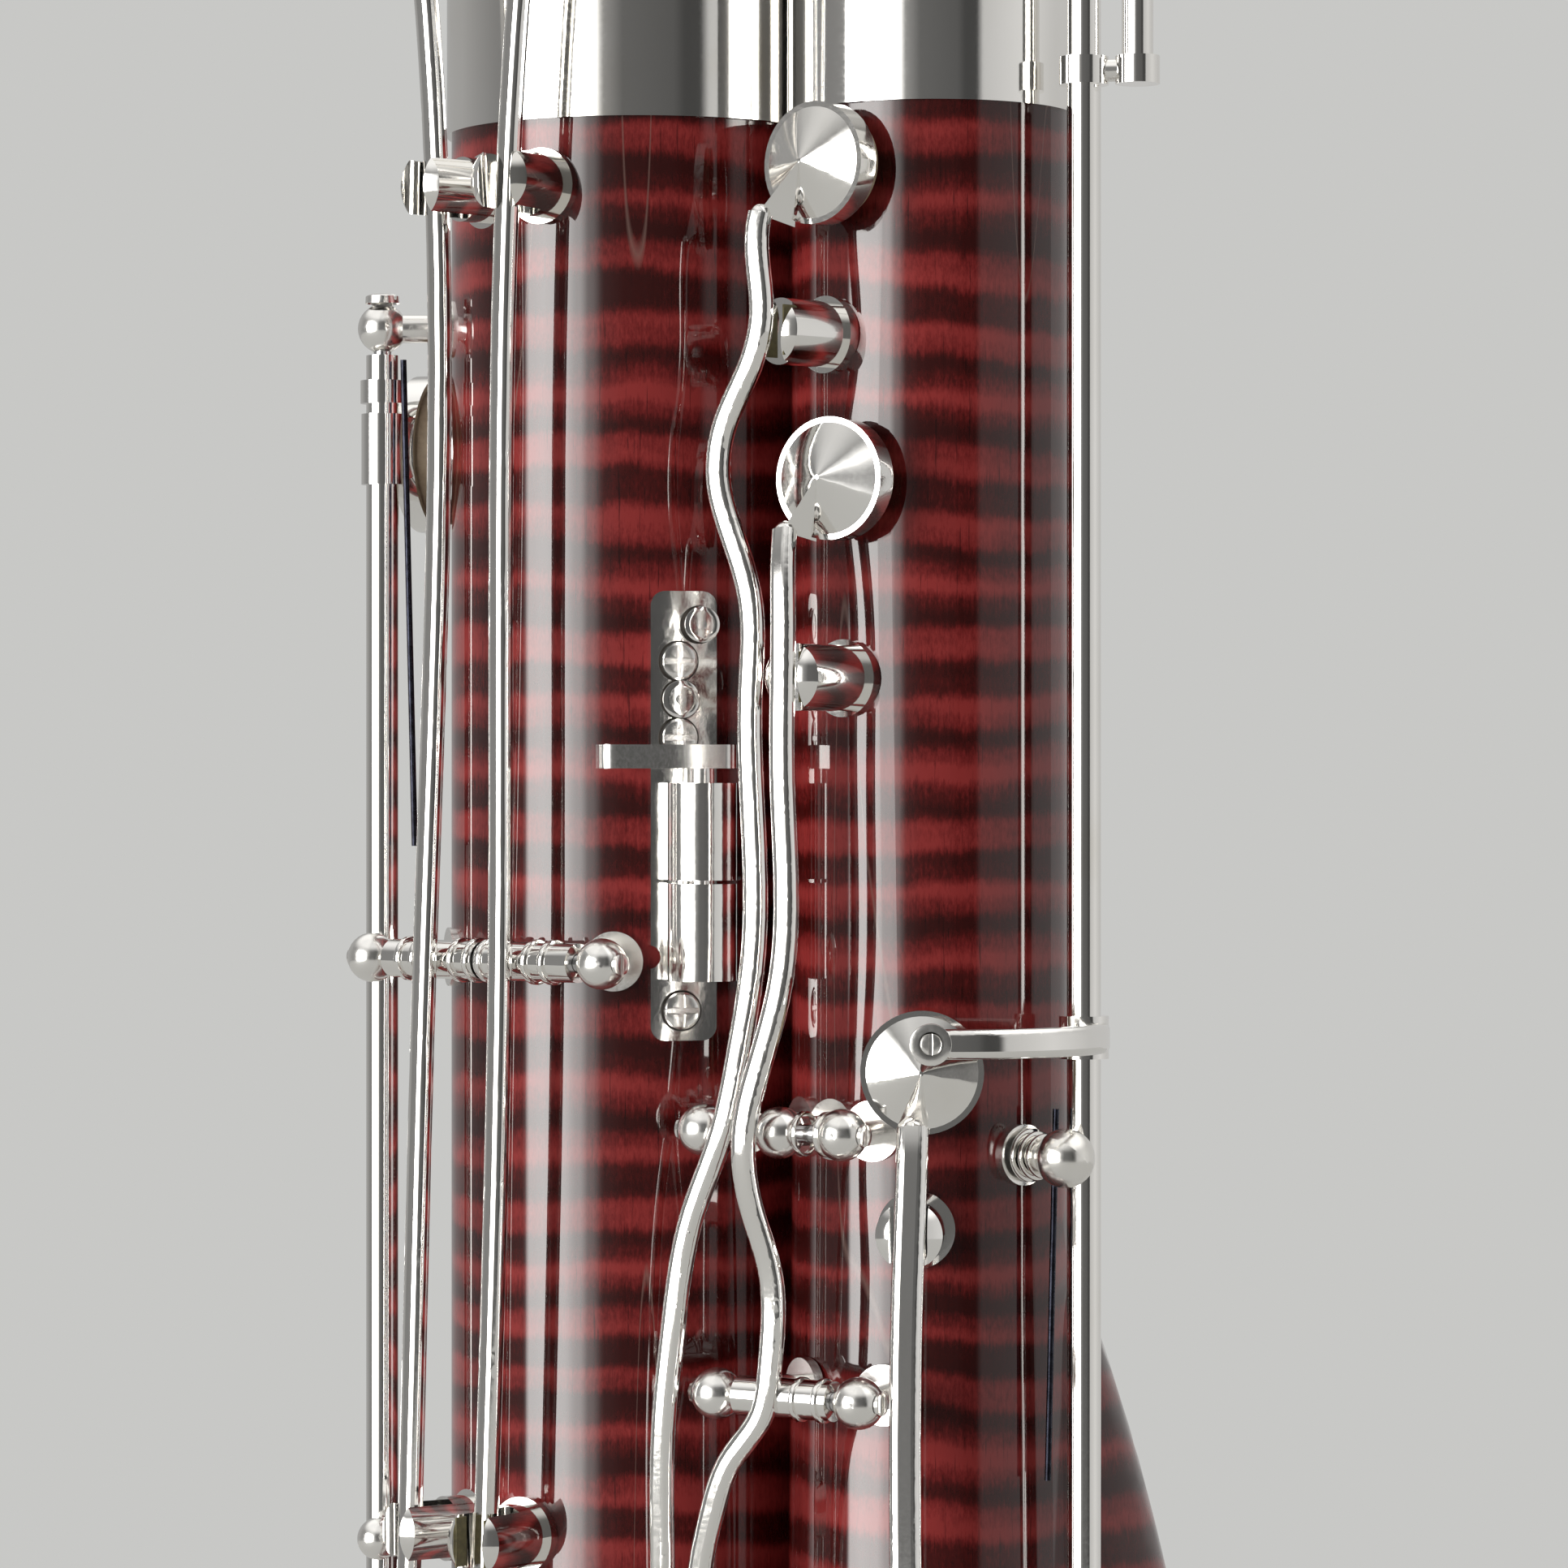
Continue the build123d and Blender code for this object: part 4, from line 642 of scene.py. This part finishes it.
# Linings in the slots of the lever guides: a thin plate on each wall. Guides wider than WIDE_GUIDE are left
# unlined.
WIDE_GUIDE = 10 * MM
SLOT_DEPTH = 2.3 * MM
SLOT_MOUTH = 0.5 * MM
NEAR_TIP = 1.2 * MM
SLOT_HALF_MIN = 0.5 * MM
LINING_HALF = 2.7 * MM
LINING_SKINS = (0.02, 0.20)
BOX_FACES = [(0, 1, 3, 2), (4, 6, 7, 5), (0, 4, 5, 1), (2, 3, 7, 6), (0, 2, 6, 4), (1, 5, 7, 3)]
for node, trunk in (("long_joint_fork_guides", LONG_AXIS), ("wing_joint_fork_guides", WING_AXIS)):
    for number, points in enumerate(islands(node)):
        if extent(points).x > WIDE_GUIDE:
            continue
        centre = box_middle(points)
        out = Vector((centre.x - trunk.x, centre.y, 0)).normalized()
        across = Vector((-out.y, out.x, 0))
        tip = max((p - Vector((trunk.x, 0, p.z))).dot(out) for p in points)
        near = [p for p in points if (p - Vector((trunk.x, 0, p.z))).dot(out) > tip - NEAR_TIP]
        gaps = [(p - centre).dot(across) for p in near if abs(p.z - centre.z) < NEAR_TIP]
        plus = [gap for gap in gaps if gap > SLOT_HALF_MIN]
        minus = [gap for gap in gaps if gap < -SLOT_HALF_MIN]
        if not plus or not minus:
            continue
        offset = (centre - Vector((trunk.x, 0, centre.z))).dot(across)
        for label, wall in (("a", min(plus)), ("b", max(minus))):
            sign = 1 if wall > 0 else -1
            corners = []
            for depth in (tip - SLOT_DEPTH, tip - SLOT_MOUTH):
                for rise in (-LINING_HALF, LINING_HALF):
                    for inward in LINING_SKINS:
                        aside = across * (offset + wall - sign * inward * MM)
                        corners.append(Vector((trunk.x, 0, centre.z + rise)) + out * depth + aside)
            mesh = bpy.data.meshes.new("lining")
            mesh.from_pydata([tuple(corner) for corner in corners], [], BOX_FACES)
            finish_piece(f"slot_lining_{node[:4]}_{number}_{label}", mesh, OLIVE, "instrument")

# Crowned leather pads over the pads that share a node with their key. The pad's axis is the direction, within
# ten degrees about the hinge, in which the CAD pad is thinnest.
BOOT_TOP = 450 * MM
PAD_THICK = 3.0 * MM
PAD_INSET = 0.02 * MM
PAD_LIFT = 0.05 * MM
PAD_SWELL = 0.06 * MM
for node in ("low_c_key", "low_d_key", "low_c_sharp_key", "c_sharp_key", "low_e_key", "b_flat_thumb_key",
             "f_sharp_thumb_key", "g_sharp_thumb_key", "g_key", "low_f_key", "f_sharp_pinky_key",
             "g_sharp_pinky_key"):
    groups = islands(node)
    if len(groups) < 2:
        continue
    disc = min(groups, key=lambda points: extent(points).length)
    centre = sum(disc, Vector()) / len(disc)
    radius = max((p - centre).length for p in disc)
    trunk = Vector((LONG_AXIS.x if centre.z > BOOT_TOP and centre.x < 0 else WING_AXIS.x, 0, centre.z))
    out = (centre - trunk).normalized() if centre.z > BOOT_TOP else Vector((0, -1 if centre.y < 0 else 1, 0))
    hinge_axis = hinge_line(node + "_hinge")[1]
    leans = [Matrix.Rotation(radians(step / 10), 3, hinge_axis) @ out for step in range(-100, 101)]
    out = min(leans, key=lambda way: max(p.dot(way) for p in disc) - min(p.dot(way) for p in disc))
    flat = (radius * radius - PAD_THICK * PAD_THICK / 4) ** 0.5 - PAD_INSET
    piece = turned(f"{node}_pad", centre - out * (PAD_THICK / 2 - PAD_LIFT), out,
                   [(0, -0.12 * MM), (flat * 0.55, -0.11 * MM), (flat * 0.88, -0.04 * MM), (flat, 0.22 * MM),
                    (flat + PAD_SWELL, 0.7 * MM), (flat + PAD_SWELL, 1.2 * MM), (flat * 0.9, 1.25 * MM)],
                   LEATHER, node)
